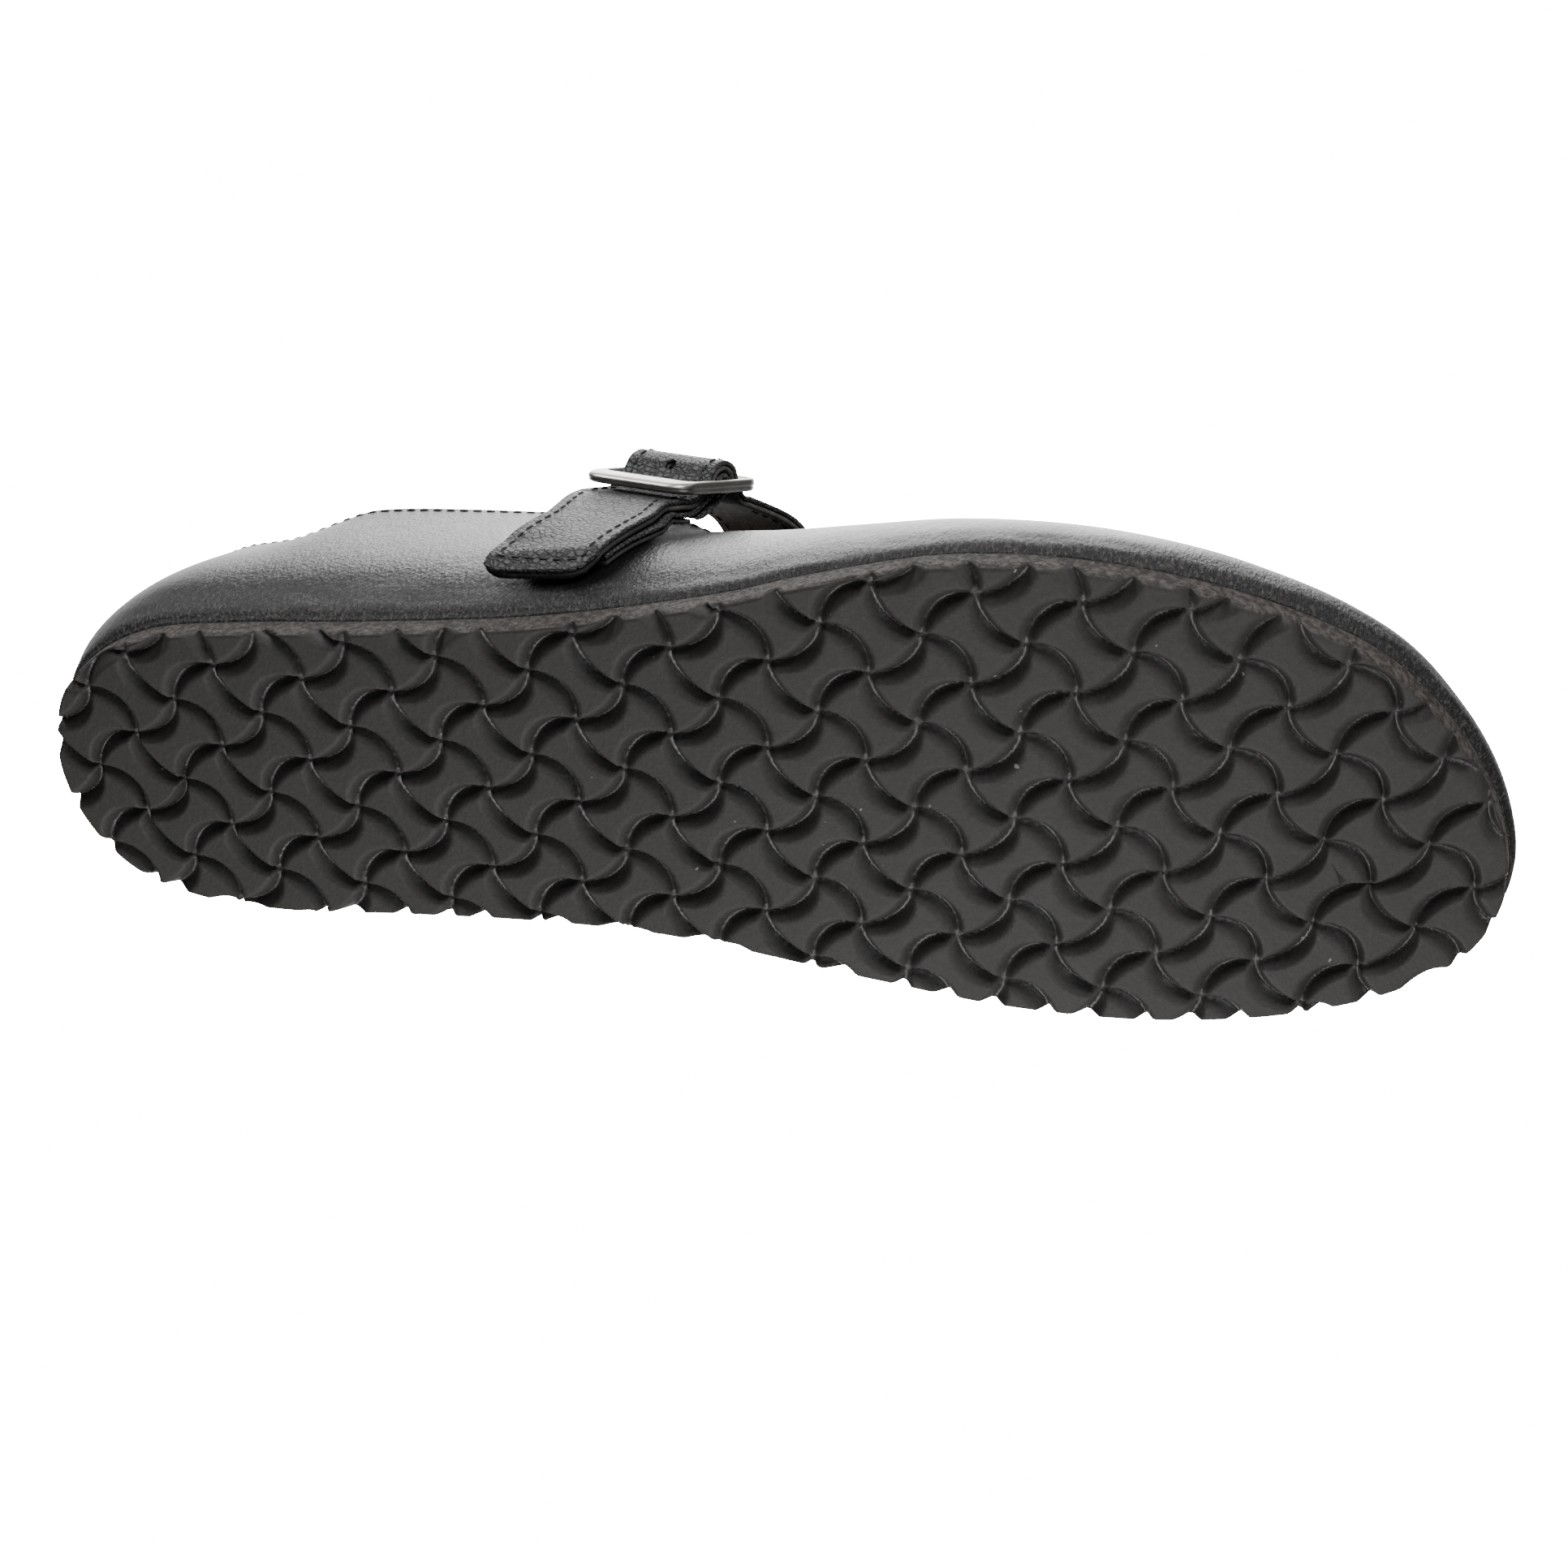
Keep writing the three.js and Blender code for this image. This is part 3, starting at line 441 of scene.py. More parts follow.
def sole_points(count, rings, height):
    """Both halves of a plate: stations by rings, with share 0 at the edge and 1 on the spine."""
    x, spine = stations(count)
    ends = {side: edge(side, x)[0] for side in (-1, 1)}
    ends[1][[0, -1]] = ends[-1][[0, -1]]
    middle = np.stack([spine, (ends[-1][:, 1] + ends[1][:, 1]) / 2], axis=-1)
    halves = []
    for side in (-1, 1):
        share = rings[None, :, None]
        plan = ends[side][:, None] * (1 - share) + middle[:, None] * share
        halves.append(
            np.concatenate([plan, height(plan[..., 0], plan[..., 1], rings)[..., None]], axis=-1)
        )
    return halves


SOLE_STATIONS = 500
chamfer = 0.35
under_rings = np.concatenate([[0.008], np.linspace(0.02, 1, 72)])
top_rings = np.array([0.0, 0.05, 0.4, 1.0])
wall_shares = np.array([0.08, 0.35, 0.65, 0.93, 1.0])
sole_parts = []
sole_walls = []
sole_faces = []
start = 0
under = sole_points(SOLE_STATIONS, under_rings, lambda x, y, ring: curl(x) + tread(x, y))
top = sole_points(SOLE_STATIONS, top_rings, lambda x, y, ring: curl(x) + SOLE_THICKNESS + 0 * y)
for half, side in enumerate((-1, 1)):
    rim = top[half][:, 0]
    low = curl(rim[:, 0]) + tread(rim[:, 0], rim[:, 1])
    high = curl(rim[:, 0]) + SOLE_THICKNESS
    wall = np.repeat(rim[:, None], len(wall_shares), axis=1)
    wall[..., 2] = low[:, None] + (high - low)[:, None] * wall_shares
    wall[:, 0, 2] = low + chamfer
    section = np.concatenate([under[half][:, ::-1], wall[:, :-1], top[half]], axis=1)
    rows, columns = section.shape[:2]
    faces = grid_faces(rows, columns, start=start)
    sole_faces.append(faces[:, ::-1] if side < 0 else faces)
    sole_parts.append(section.reshape(-1, 3))
    on_wall_column = np.zeros((rows, columns))
    on_wall_column[:, under[half].shape[1] : under[half].shape[1] + len(wall_shares) - 1] = 1
    sole_walls.append(on_wall_column.reshape(-1))
    start += rows * columns
outsole_points = np.concatenate(sole_parts)
groove = tread(outsole_points[:, 0], outsole_points[:, 1]) / GROOVE_DEPTH
outsole = make_mesh(
    "outsole_tread", metres(outsole_points), np.concatenate(sole_faces),
    fields={"groove": groove, "buffed": np.concatenate(sole_walls)},
)


def foam(shade):
    """Warm dark grey, matte, finely pebbled, with pale dust; the buffed edge is granular."""
    buffed = shade.node("ShaderNodeAttribute", {"attribute_name": "buffed"}, output=2).smooth(
        0.5, 1.0
    )
    groove = shade.node("ShaderNodeAttribute", {"attribute_name": "groove"}, output=2)
    broad = noise(shade, 45, 4, 0.6)
    fine = noise(shade, 900, 2, 0.6)
    grains = cells(shade, 1500)
    tone = (broad * 0.5 + fine * 0.5).smooth(0.3, 0.75)
    plain = tone.mix(rgb(0.0285, 0.0260, 0.0245), rgb(0.0430, 0.0395, 0.0370))
    worn = fine.smooth(0.35, 0.7).mix(rgb(0.022, 0.019, 0.017), rgb(0.090, 0.078, 0.070))
    dust = noise(shade, 420, 1, 0.4, seed=3.0).smooth(0.80, 0.84)
    return {
        "Base_Color": dust.mix(buffed.mix(plain, worn), rgb(0.30, 0.29, 0.27)),
        "Roughness": 0.60 + broad * 0.2 - groove.smooth(0.2, 0.9) * 0.28 * (1 - buffed),
        "height": fine * 0.5 + grains * (0.3 + buffed * 0.8),
        "bump": 0.00012,
    }


outsole.data.materials.append(finish_material("outsole_foam", foam))
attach(outsole, "shoe")
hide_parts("outsole")


# ---- Upper: leather shell ----
# One shell of smooth black leather, pulled over a last and turned in under the footbed. Its heel is
# closed; the mouth's edge is folded over the lining and stitched. It is creased along the sole.
HEEL_HEIGHT = 60.0
SIDE_HEIGHT = 59.5
THROAT_HEIGHT = 72.0
WAIST_HEIGHT = 54.0
TOE_HEIGHT = 40.0
SEAM_HEIGHT = SOLE_THICKNESS + 0.3
THROAT_START = 92.0
THROAT_END = 140.0
LEATHER = 1.6
FOLDED_EDGE = 4.0
LASTING_MARGIN = 11.0
EDGE_HEIGHTS = [[0, HEEL_HEIGHT], [22, HEEL_HEIGHT - 4], [42, SIDE_HEIGHT], [118, SIDE_HEIGHT + 1]]
EDGE_INSETS = [[0, 5], [22, 8.5], [42, 4.5], [80, 6.5], [118, 9]]
BULGES = [[0, 3], [30, 2.8], [100, 2.2], [150, 1.5], [200, 2.6], [240, 2.2], [259, 2]]
RIDGE_HEIGHTS = [
    [118, THROAT_HEIGHT], [140, 0.55 * WAIST_HEIGHT + 0.45 * THROAT_HEIGHT], [165, WAIST_HEIGHT],
    [190, 0.25 * TOE_HEIGHT + 0.75 * WAIST_HEIGHT], [215, 0.58 * TOE_HEIGHT + 0.42 * WAIST_HEIGHT],
    [236, TOE_HEIGHT],
]
RIDGE_SIDEWAYS = [[118, 4], [150, 2], [185, 0], [215, 2], [236, 4]]


def eased(table, position):
    """A value read off pairs of position and value, on a cubic whose slope at each pair is that of
    the line between its neighbours."""
    x, y = np.array(table, float).T
    slope = np.gradient(y, x)
    slope[1:-1] = (y[2:] - y[:-2]) / (x[2:] - x[:-2])
    p = np.clip(position, x[0], x[-1])
    k = np.clip(np.searchsorted(x, p, side="right") - 1, 0, len(x) - 2)
    h = x[k + 1] - x[k]
    t = (p - x[k]) / h
    start = y[k] * (1 + 2 * t) * (1 - t) ** 2 + slope[k] * h * t * (1 - t) ** 2
    return start + y[k + 1] * t * t * (3 - 2 * t) + slope[k + 1] * h * t * t * (t - 1)


def smooth_step(value, low, high):
    """0 below low, 1 above high, eased between them."""
    t = np.clip((value - low) / (high - low), 0, 1)
    return t * t * (3 - 2 * t)


def upper_point(side, x, spine, share):
    """The upper's outer surface: share 0 on the seam with the outsole, 1 on the mouth's edge or on
    the ridge. Towards the toe a section is a quarter of an ellipse; at the mouth it is a nearly
    upright wall; a sine bulges both."""
    x, spine, share = np.broadcast_arrays(*(np.asarray(v, float) for v in (x, spine, share)))
    point, out = edge(side, x)
    turn_in = smooth_step(x, THROAT_START, THROAT_END)
    inset = eased(EDGE_INSETS, x)
    top_x = (point[..., 0] - out[..., 0] * inset) * (1 - turn_in) + spine * turn_in
    top_y = (
        (point[..., 1] - out[..., 1] * inset) * (1 - turn_in) + eased(RIDGE_SIDEWAYS, spine) * turn_in
    )
    top_z = eased(EDGE_HEIGHTS, x) * (1 - turn_in) + eased(RIDGE_HEIGHTS, spine) * turn_in
    quarter = share * np.pi / 2
    inwards = share**2 * (1 - turn_in) + (1 - np.cos(quarter)) * turn_in
    upwards = share * (1 - turn_in) + np.sin(quarter) * turn_in
    bulge = eased(BULGES, x) * 1.25 * np.sin(np.pi * share**0.7) * np.sqrt(np.maximum(1 - share, 0))
    seam = SEAM_HEIGHT + curl(point[..., 0])
    return np.stack([
        point[..., 0] * (1 - inwards) + top_x * inwards + out[..., 0] * bulge,
        point[..., 1] * (1 - inwards) + top_y * inwards + out[..., 1] * bulge,
        seam * (1 - upwards) + top_z * upwards,
    ], axis=-1)


def waves(seed, u, v, count=14, low=0.6, high=1.6):
    """A smooth random field: the mean of sines whose directions, lengths and phases are seeded."""
    draw = np.random.default_rng(seed)
    total = 0.0
    for _ in range(count):
        angle = draw.uniform(0, np.pi)
        pace = draw.uniform(low, high)
        phase = draw.uniform(0, 2 * np.pi)
        total = total + np.sin(pace * (u * np.cos(angle) + v * np.sin(angle)) + phase)
    return total / math.sqrt(count)


UPPER_STATIONS = 300
MARGIN_SHARES = np.array([1.0, 0.7, 0.4, 0.15])
UPPER_SHARES = np.unique(np.concatenate([np.linspace(0, 0.12, 16), np.linspace(0.12, 0.9, 32),
                                         np.linspace(0.9, 1, 16)]))


def unit(vectors):
    """Vectors brought to length 1."""
    return vectors / np.maximum(np.linalg.norm(vectors, axis=-1, keepdims=True), 1e-12)


def upper_halves(shares):
    """Both halves of the outer surface and their outward normals, as stations by shares."""
    x, spine = stations(UPPER_STATIONS)
    halves = []
    for side in (-1, 1):
        surface = upper_point(side, x[:, None], spine[:, None], shares[None, :])
        along = np.gradient(surface, axis=0)
        upward = np.gradient(surface, axis=1)
        normal = unit(np.cross(along, upward) * -side)
        halves.append([surface, normal])
    closed = x >= THROAT_END
    (outer, outer_normal), (inner, inner_normal) = halves
    if shares[-1] == 1:
        shared = unit(outer_normal[closed, -1] + inner_normal[closed, -1])
        outer_normal[closed, -1] = inner_normal[closed, -1] = shared
        inner[closed, -1] = outer[closed, -1]
    for end in (0, -1):
        shared = unit(outer_normal[end] + inner_normal[end])
        outer_normal[end] = inner_normal[end] = shared
        inner[end] = outer[end]
    return x, closed, halves


def shell(name, halves_out, halves_in, closed, field=None, values=None):
    """A closed wall between outer and inner halves of the same grid. Rows where the halves meet on
    the ridge have no edge between the two faces. field names values for the outer face's points."""
    points = []
    numbers = []
    faces = []
    start = 0
    for half, side in enumerate((-1, 1)):
        loop = np.concatenate([halves_out[half], halves_in[half][:, ::-1]], axis=1)
        rows, columns = loop.shape[:2]
        quads = grid_faces(rows, columns, wrap_columns=True).reshape(rows - 1, columns, 4)
        ridge = halves_out[half].shape[1] - 1
        keep = np.ones((rows - 1, columns), bool)
        if closed is not None:
            keep[:, ridge] = ~(closed[:-1] & closed[1:])
        kept = quads[keep] + start
        faces.append(kept if side < 0 else kept[:, ::-1])
        points.append(loop.reshape(-1, 3))
        if field:
            numbers.append(np.concatenate([values[half], 0 * values[half]], axis=1).reshape(-1))
        start += rows * columns
    fields = {field: np.concatenate(numbers)} if field else None
    return make_mesh(name, metres(np.concatenate(points)), np.concatenate(faces), fields=fields)


upper_x, upper_closed, halves = upper_halves(UPPER_SHARES)
openness = 1 - smooth_step(upper_x, 128, 141)[:, None]
outer_faces = []
inner_faces = []
creased = []
for half, side in enumerate((-1, 1)):
    surface, normal = halves[half]
    share = UPPER_SHARES[None, :]
    rise = surface[..., 2] - surface[:, :1, 2]
    around_edge = upper_x[:, None] + side * 400.0
    crease = 0.14 * np.exp(-((rise - 2.4) / 1.3) ** 2) - 0.30 * np.exp(-((rise - 0.6) / 0.5) ** 2)
    wrinkle = 0.10 * waves(3, around_edge / 2.2, rise / 0.8) * np.exp(-((rise / 5.5) ** 2))
    slack = 0.22 * waves(8, around_edge / 17, rise / 13) * smooth_step(rise, 2, 14) * (1 - share**4)
    pull = 0.05 * waves(5, around_edge / 4.0, rise / 2.4) * np.exp(-(((rise - 9) / 6) ** 2))
    relief = (crease + wrinkle + slack + pull) * smooth_step(rise, 0.0, 0.8)
    ends = np.minimum(np.arange(len(upper_x)), len(upper_x) - 1 - np.arange(len(upper_x)))[:, None]
    relief = relief * smooth_step(ends, 0, 5) * (1 - smooth_step(share, 0.93, 0.97) * openness)
    near_edge = np.clip((share - 0.962) / 0.038, 0, 1)
    cap = FOLDED_EDGE / 2 * (1 - np.sqrt(1 - near_edge**2)) * openness
    wall = LEATHER + (FOLDED_EDGE - LEATHER) * smooth_step(share, 0.945, 0.962) * openness
    outside = surface + normal * (relief - cap)[..., None]
    inside = surface - normal * (wall - cap)[..., None]
    point, out = edge(side, upper_x)
    margins = point[:, None] - out[:, None] * (MARGIN_SHARES * LASTING_MARGIN)[None, :, None]
    level = SEAM_HEIGHT + curl(margins[..., 0])
    under_side = np.concatenate([margins, level[..., None]], axis=-1)
    over_side = under_side + [0, 0, LEATHER]
    outside = np.concatenate([under_side, outside], axis=1)
    inside = np.concatenate([over_side, inside], axis=1)
    outer_faces.append(outside)
    inner_faces.append(inside)
    wrinkled = np.exp(-((rise / 6.0) ** 2))
    creased.append(
        np.concatenate([np.repeat(wrinkled[:, :1], len(MARGIN_SHARES), axis=1), wrinkled], axis=1)
    )
for faces in (outer_faces, inner_faces):
    for end in (0, -1):
        faces[1][end] = faces[0][end]
    faces[1][upper_closed, -1] = faces[0][upper_closed, -1]
upper = shell("upper_shell", outer_faces, inner_faces, upper_closed, "crease", creased)


def smooth_leather(shade):
    """Black dressed leather: fine grain drawn out up and down the shoe, broad patches of duller and
    shinier dressing, and tight crinkles in the crease along the sole. The crinkles' tops get pale
    painted highlights, mixed into the colour."""
    broad = noise(shade, 28, 4, 0.55)
    mottle = noise(shade, 140, 3, 0.6, seed=2.0)
    pores = cells(shade, 1500)
    drawn = noise(shade, 1150, 3, 0.6, stretch=(1.35, 1.0, 0.45), seed=5.0)
    lines = noise(shade, 520, 2, 0.5, stretch=(1.5, 1.0, 0.35), seed=4.0)
    crinkle = noise(shade, 1500, 3, 0.7, stretch=(1.2, 1.0, 0.6), seed=7.0)
    crease = shade.node("ShaderNodeAttribute", {"attribute_name": "crease"}, output=2)
    # Pale flecks on the crinkle tops in the crease band: painted highlights mixed into the colour.
    painted_crinkle_highlights = crease * crinkle.smooth(0.48, 0.70)
    tone = (broad * 0.6 + mottle * 0.4).smooth(0.3, 0.72)
    black = tone.mix(rgb(0.0045, 0.0046, 0.0046), rgb(0.0085, 0.0084, 0.0081))
    return {
        "Base_Color": painted_crinkle_highlights.mix(black, rgb(0.085, 0.077, 0.071)),
        "Roughness": 0.27 + broad * 0.12 + mottle * 0.10 + crease * 0.12,
        "Specular_IOR_Level": 0.5,
        "height": pores * 0.25 + drawn * 0.9 + lines * 0.5 + crease * crinkle * 2.2,
        "bump": 0.00022,
    }


upper_leather = finish_material("upper_leather", smooth_leather)
upper.data.materials.append(upper_leather)
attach(upper, "shoe")
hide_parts("upper_leather")


# ---- Lining, heel grip and hidden stiffeners ----
# A brushed lining is glued inside the shell up to the folded edge; a suede patch covers it at the
# heel. The puff, counter and tape between the layers don't show.
STIFFENER_DEPTH = LEATHER + 0.3
LINING_DEPTH = STIFFENER_DEPTH + 1.0 + 0.3
LINING = 0.9
GRIP_DEPTH = LINING_DEPTH + LINING + 0.3
GRIP = 0.8


def inner_layer(name, depth, thickness, low, high, last_x):
    """A layer at one depth under the shell, between two shares and back from last_x."""
    shares = np.linspace(low, high, 40)
    x, _, both = upper_halves(shares)
    front = [surface - normal * depth for surface, normal in both]
    back = [surface - normal * (depth + thickness) for surface, normal in both]
    kept = x <= last_x
    if kept.all():
        return shell(name, front, back, None)
    return shell(name, [f[kept] for f in front], [b[kept] for b in back], None)


def brushed(shade, dark, light):
    """Short nap: mottled in two tones, dull, with fine uneven fibres."""
    broad = noise(shade, 60, 4, 0.6)
    fibre = noise(shade, 2200, 3, 0.7)
    nap = noise(shade, 500, 2, 0.6, seed=4.0)
    tone = (broad * 0.5 + nap * 0.5).smooth(0.3, 0.7)
    return {
        "Base_Color": tone.mix(dark, light),
        "Roughness": 0.88 + fibre * 0.1,
        "height": fibre * 0.7 + nap * 0.5,
        "bump": 0.00015,
    }


lining = inner_layer("upper_lining_cloth", LINING_DEPTH, LINING, 0.04, 0.955, 300)
lining.data.materials.append(
    finish_material(
        "lining_cloth", lambda shade: brushed(shade, rgb(0.05, 0.04, 0.034), rgb(0.085, 0.07, 0.058))
    )
)
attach(lining, "shoe")
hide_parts("upper_lining")
grip = inner_layer("heel_grip_patch", GRIP_DEPTH, GRIP, 0.46, 0.9, 60)
grip.data.materials.append(
    finish_material(
        "grip_suede", lambda shade: brushed(shade, rgb(0.06, 0.045, 0.035), rgb(0.10, 0.08, 0.062))
    )
)
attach(grip, "shoe")
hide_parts("heel_grip")


def board(shade):
    """Pale fibre board with flecks."""
    flecks = noise(shade, 700, 3, 0.7)
    return {
        "Base_Color": flecks.smooth(0.4, 0.7).mix(rgb(0.60, 0.57, 0.50), rgb(0.48, 0.44, 0.36)),
        "Roughness": 0.85,
        "height": flecks,
    }


def webbing(shade):
    """Narrow dark tape with a fine plain weave."""
    place = shade.node("ShaderNodeTexCoord", output=3)
    threads = shade.node(
        "ShaderNodeTexWave", {"bands_direction": "X"}, output=1, Vector=place, Scale=380.0
    )
    rows = shade.node(
        "ShaderNodeTexWave", {"bands_direction": "Z"}, output=1, Vector=place, Scale=380.0
    )
    weave = threads * rows
    return {
        "Base_Color": weave.mix(rgb(0.02, 0.02, 0.02), rgb(0.05, 0.05, 0.05)),
        "Roughness": 0.9,
        "height": weave,
    }


def set_finish(node, material):
    """A CAD node that is kept gets a material."""
    slots = frame["nodes"][node].data.materials
    slots.clear()
    slots.append(material)


fibre_board = finish_material("fibre_board", board)
set_finish("toe_puff", fibre_board)
set_finish("heel_counter", fibre_board)
set_finish("top_edge_tape", finish_material("edge_tape", webbing))

# ---- Footbed ----
# A moulded cork body between two layers of jute, covered in suede. It has a deep heel cup, a raised
# inner arch, a soft rim and a low bar under the toes. It is pressed into the upper.
FOOTBED_BOTTOM = SEAM_HEIGHT + LEATHER + 0.3
FOOTBED_INSET = GRIP_DEPTH + GRIP + 0.6
SUEDE = 1.1
SEATS = [[0, 11], [90, 13], [165, 10], [240, 7]]
OUTER_RIMS = [[0, 22], [60, 20], [130, 12], [190, 11], [259, 11]]
INNER_RIMS = [[0, 22], [60, 23], [100, 24], [160, 12], [259, 11]]


def share_at_height(side, x, spine, height):
    """The share at which the upper reaches a height, by halving the interval 30 times."""
    low = np.zeros_like(height, dtype=float)
    high = np.ones_like(height, dtype=float)
    for _ in range(30):
        middle = (low + high) / 2
        below = upper_point(side, x, spine, middle)[..., 2] < height
        low = np.where(below, middle, low)
        high = np.where(below, high, middle)
    return low


def footbed_halves(rings, depth):
    """The footbed's top face: a rim that follows the upper's inside, and a seat that the rim falls to
    with the cube of the distance in."""
    x, spine = stations(260)
    plan = []
    rims = []
    for side, table in ((-1, OUTER_RIMS), (1, INNER_RIMS)):
        point, out = edge(side, x)
        rim = eased(table, x)
        share = share_at_height(side, x, spine, FOOTBED_BOTTOM + rim + curl(x))
        wall = upper_point(side, x, spine, share)[:, :2]
        rise = upper_point(side, x, spine, share + 0.02) - upper_point(side, x, spine, share)
        steepness = rise[:, 2] / np.linalg.norm(rise, axis=1)
        reach = ((wall - point) * out).sum(-1) - FOOTBED_INSET / steepness
        plan.append(point + out * reach[:, None])
        rims.append(rim)
    plan[1][[0, -1]] = plan[0][[0, -1]]
    rims[1][[0, -1]] = rims[0][[0, -1]]
    middle = np.stack([spine, (plan[0][:, 1] + plan[1][:, 1]) / 2], axis=-1)
    halves = []
    for half in (0, 1):
        ring = rings[None, :, None]
        flat = plan[half][:, None] * (1 - ring) + middle[:, None] * ring
        seat = eased(SEATS, x)[:, None]
        height = seat + (rims[half][:, None] - seat) * (1 - rings[None, :]) ** 3
        toe_bar = 1.3 * np.exp(-(((flat[..., 0] - 205) / 7) ** 2)) * smooth_step(
            rings[None, :], 0.1, 0.5
        )
        z = FOOTBED_BOTTOM + curl(flat[..., 0]) + height + toe_bar - depth
        halves.append(np.concatenate([flat, z[..., None]], axis=-1))
    return halves


bed_rings = np.unique(np.concatenate([np.linspace(0, 0.06, 7), np.linspace(0.06, 1, 40)]))
bed_top = footbed_halves(bed_rings, 0.0)
bed_under = footbed_halves(bed_rings, SUEDE)
for half in (0, 1):
    fall = 0.9 * (1 - np.clip(bed_rings / 0.035, 0, 1)) ** 2
    bed_top[half][..., 2] -= fall
all_closed = np.ones(261, bool)
suede = shell("footbed_cover", bed_top, bed_under, all_closed)


def footbed_nap(shade):
    """Light brown suede with a mottled nap."""
    made = brushed(shade, rgb(0.19, 0.125, 0.08), rgb(0.29, 0.205, 0.14))
    return made


suede.data.materials.append(finish_material("footbed_suede_nap", footbed_nap))
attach(suede, "shoe")
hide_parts("footbed_suede")


def cork(shade):
    """Pressed cork: granules of several browns with dark joints."""
    granules = cells(shade, 420, output=0)
    tone = cells(shade, 420, output=1)
    grey = shade.node("ShaderNodeSeparateXYZ", output=0, Vector=tone)
    return {
        "Base_Color": grey.mix(rgb(0.25, 0.13, 0.055), rgb(0.46, 0.28, 0.13)),
        "Roughness": 0.85,
        "height": 1 - granules,
        "bump": 0.0003,
    }


def jute(shade):
    """Coarse plain weave of tan yarn."""
    place = shade.node("ShaderNodeTexCoord", output=3)
    warp = shade.node(
        "ShaderNodeTexWave", {"bands_direction": "X"}, output=1, Vector=place, Scale=160.0
    )
    weft = shade.node(
        "ShaderNodeTexWave", {"bands_direction": "Y"}, output=1, Vector=place, Scale=160.0
    )
    weave = warp * 0.5 + weft * 0.5
    return {
        "Base_Color": weave.mix(rgb(0.20, 0.13, 0.06), rgb(0.42, 0.31, 0.16)),
        "Roughness": 0.95,
        "height": weave,
        "bump": 0.0003,
    }


set_finish("cork_footbed", finish_material("cork_granules", cork))
jute_cloth = finish_material("jute_cloth", jute)
set_finish("lower_jute", jute_cloth)
set_finish("upper_jute", jute_cloth)

# ---- Long strap ----
# Two layers of leather, stitched along both edges and sewn to the upper's inner side. They cross
# the instep, pass under the buckle's thin bar, over its centre bar and under its wide bar, and end
# free on the outer side. The free end turns about a line just below the buckle.
STRAP_LEATHER = 1.0
STRAP_LINING = 0.8
STRAP_X = 96.0
BUCKLE_LEAN = 69.0
BUCKLE_LENGTH = 26.2
BUCKLE_WIDTH = 23.0
BUCKLE_THICKNESS = 2.4
WIDE_BAR = 7.0
THIN_BAR = 2.4
SIDE_BAR = 1.3
BAR_RADIUS = 1.0
CENTRE_TO_THIN = 9.0
LAYER_GAP = 0.3
TAIL_END_HEIGHT = 11.5
rock = next(
    joint for joint in frame["record"]["behaviour"]["joints"] if joint["name"] == "buckle_rock"
)
BUCKLE = np.array(rock["pos_m"]) * 1000 - ORIGIN
ACROSS = unit(np.array([0.94, -0.15, -0.31]))
lean = math.radians(BUCKLE_LEAN)
level_out = np.array([0, -math.sin(lean), math.cos(lean)])
OUT = unit(level_out - ACROSS * (level_out @ ACROSS))
UP = np.cross(OUT, ACROSS)
STRAP = STRAP_LEATHER + LAYER_GAP + STRAP_LINING
LOOP = 1.0
LOOP_OUTER = BAR_RADIUS + LAYER_GAP + LOOP
STRAP_RADIUS = LOOP_OUTER + LAYER_GAP + STRAP
UNDER_BAR = -BUCKLE_THICKNESS / 2 - 0.8
WIDE_START = CENTRE_TO_THIN + THIN_BAR / 2 - BUCKLE_LENGTH
WIDE_END = WIDE_START + WIDE_BAR
TAIL_OFF = LAYER_GAP + STRAP
WALL_STRAP = LOOP + LAYER_GAP + STRAP_LINING + LAYER_GAP
SHORT_FOOT = SEAM_HEIGHT + 15


def in_buckle(a, u, o):
    """A point given across, up and out from the middle of the buckle's centre bar."""
    return BUCKLE + ACROSS * a + UP * u + OUT * o


def wall_at(side, x, height):
    """The upper's outer surface at a height on one side, and its outward normal."""
    x = np.asarray(x, float)
    height = np.asarray(height, float)
    share = share_at_height(side, x, x, height)
    here = upper_point(side, x, x, share)
    ahead = upper_point(side, x + 1, x + 1, share) - here
    higher = upper_point(side, x, x, np.minimum(share + 0.02, 1)) - here
    return here, unit(np.cross(ahead, higher) * -side)


def on_wall(side, x, height, offset):
    here, normal = wall_at(side, x, height)
    return here + normal * offset


def outer_wall(height, offset):
    """Where the strap climbs the outer side, leaning forward by a quarter of its climb."""
    return on_wall(-1, STRAP_X - 5 + 0.25 * (height - TAIL_END_HEIGHT), height, offset)


def strap_path(points, stand_off, turn_to=None):
    """A curve for a strap's grain face and how far that face stays off the upper. frames(distance)
    gives places, directions across the strap and outward normals."""
    points = np.array(points)
    position = np.linspace(0, len(points) - 1, 4001)
    line = rounded_curve(points, position, False)
    run = np.concatenate([[0], np.cumsum(np.linalg.norm(np.diff(line, axis=0), axis=1))])
    direction = unit(np.gradient(line, axis=0))

    def frames(distance):
        at = np.clip(distance, 0, run[-1])
        place = np.stack([np.interp(at, run, line[:, k]) for k in range(3)], axis=-1)
        tangent = unit(np.stack([np.interp(at, run, direction[:, k]) for k in range(3)], axis=-1))
        blend = smooth_step(at / run[-1], 0.45, 1)[..., None]
        flat = ACROSS * (1 - blend) + (ACROSS if turn_to is None else turn_to) * blend
        flat = unit(flat - tangent * (flat * tangent).sum(-1, keepdims=True))
        return place, flat, np.cross(flat, tangent), tangent

    return run[-1], frames, stand_off, (run, line)


def clear_of_upper(point, path, depth):
    """Points of a strap's layer, pushed straight out of the upper's side where they lie too deep."""
    moved = point.copy()
    for side in (-1, 1):
        here, normal = wall_at(side, point[..., 0], point[..., 2])
        short = path[2](point) - depth - ((point - here) * normal).sum(-1)
        use = (np.sign(point[..., 1]) == side) & (here[..., 2] >= point[..., 2] - 0.1) & (short > 0)
        moved = np.where(use[..., None], point + normal * short[..., None], moved)
    return moved


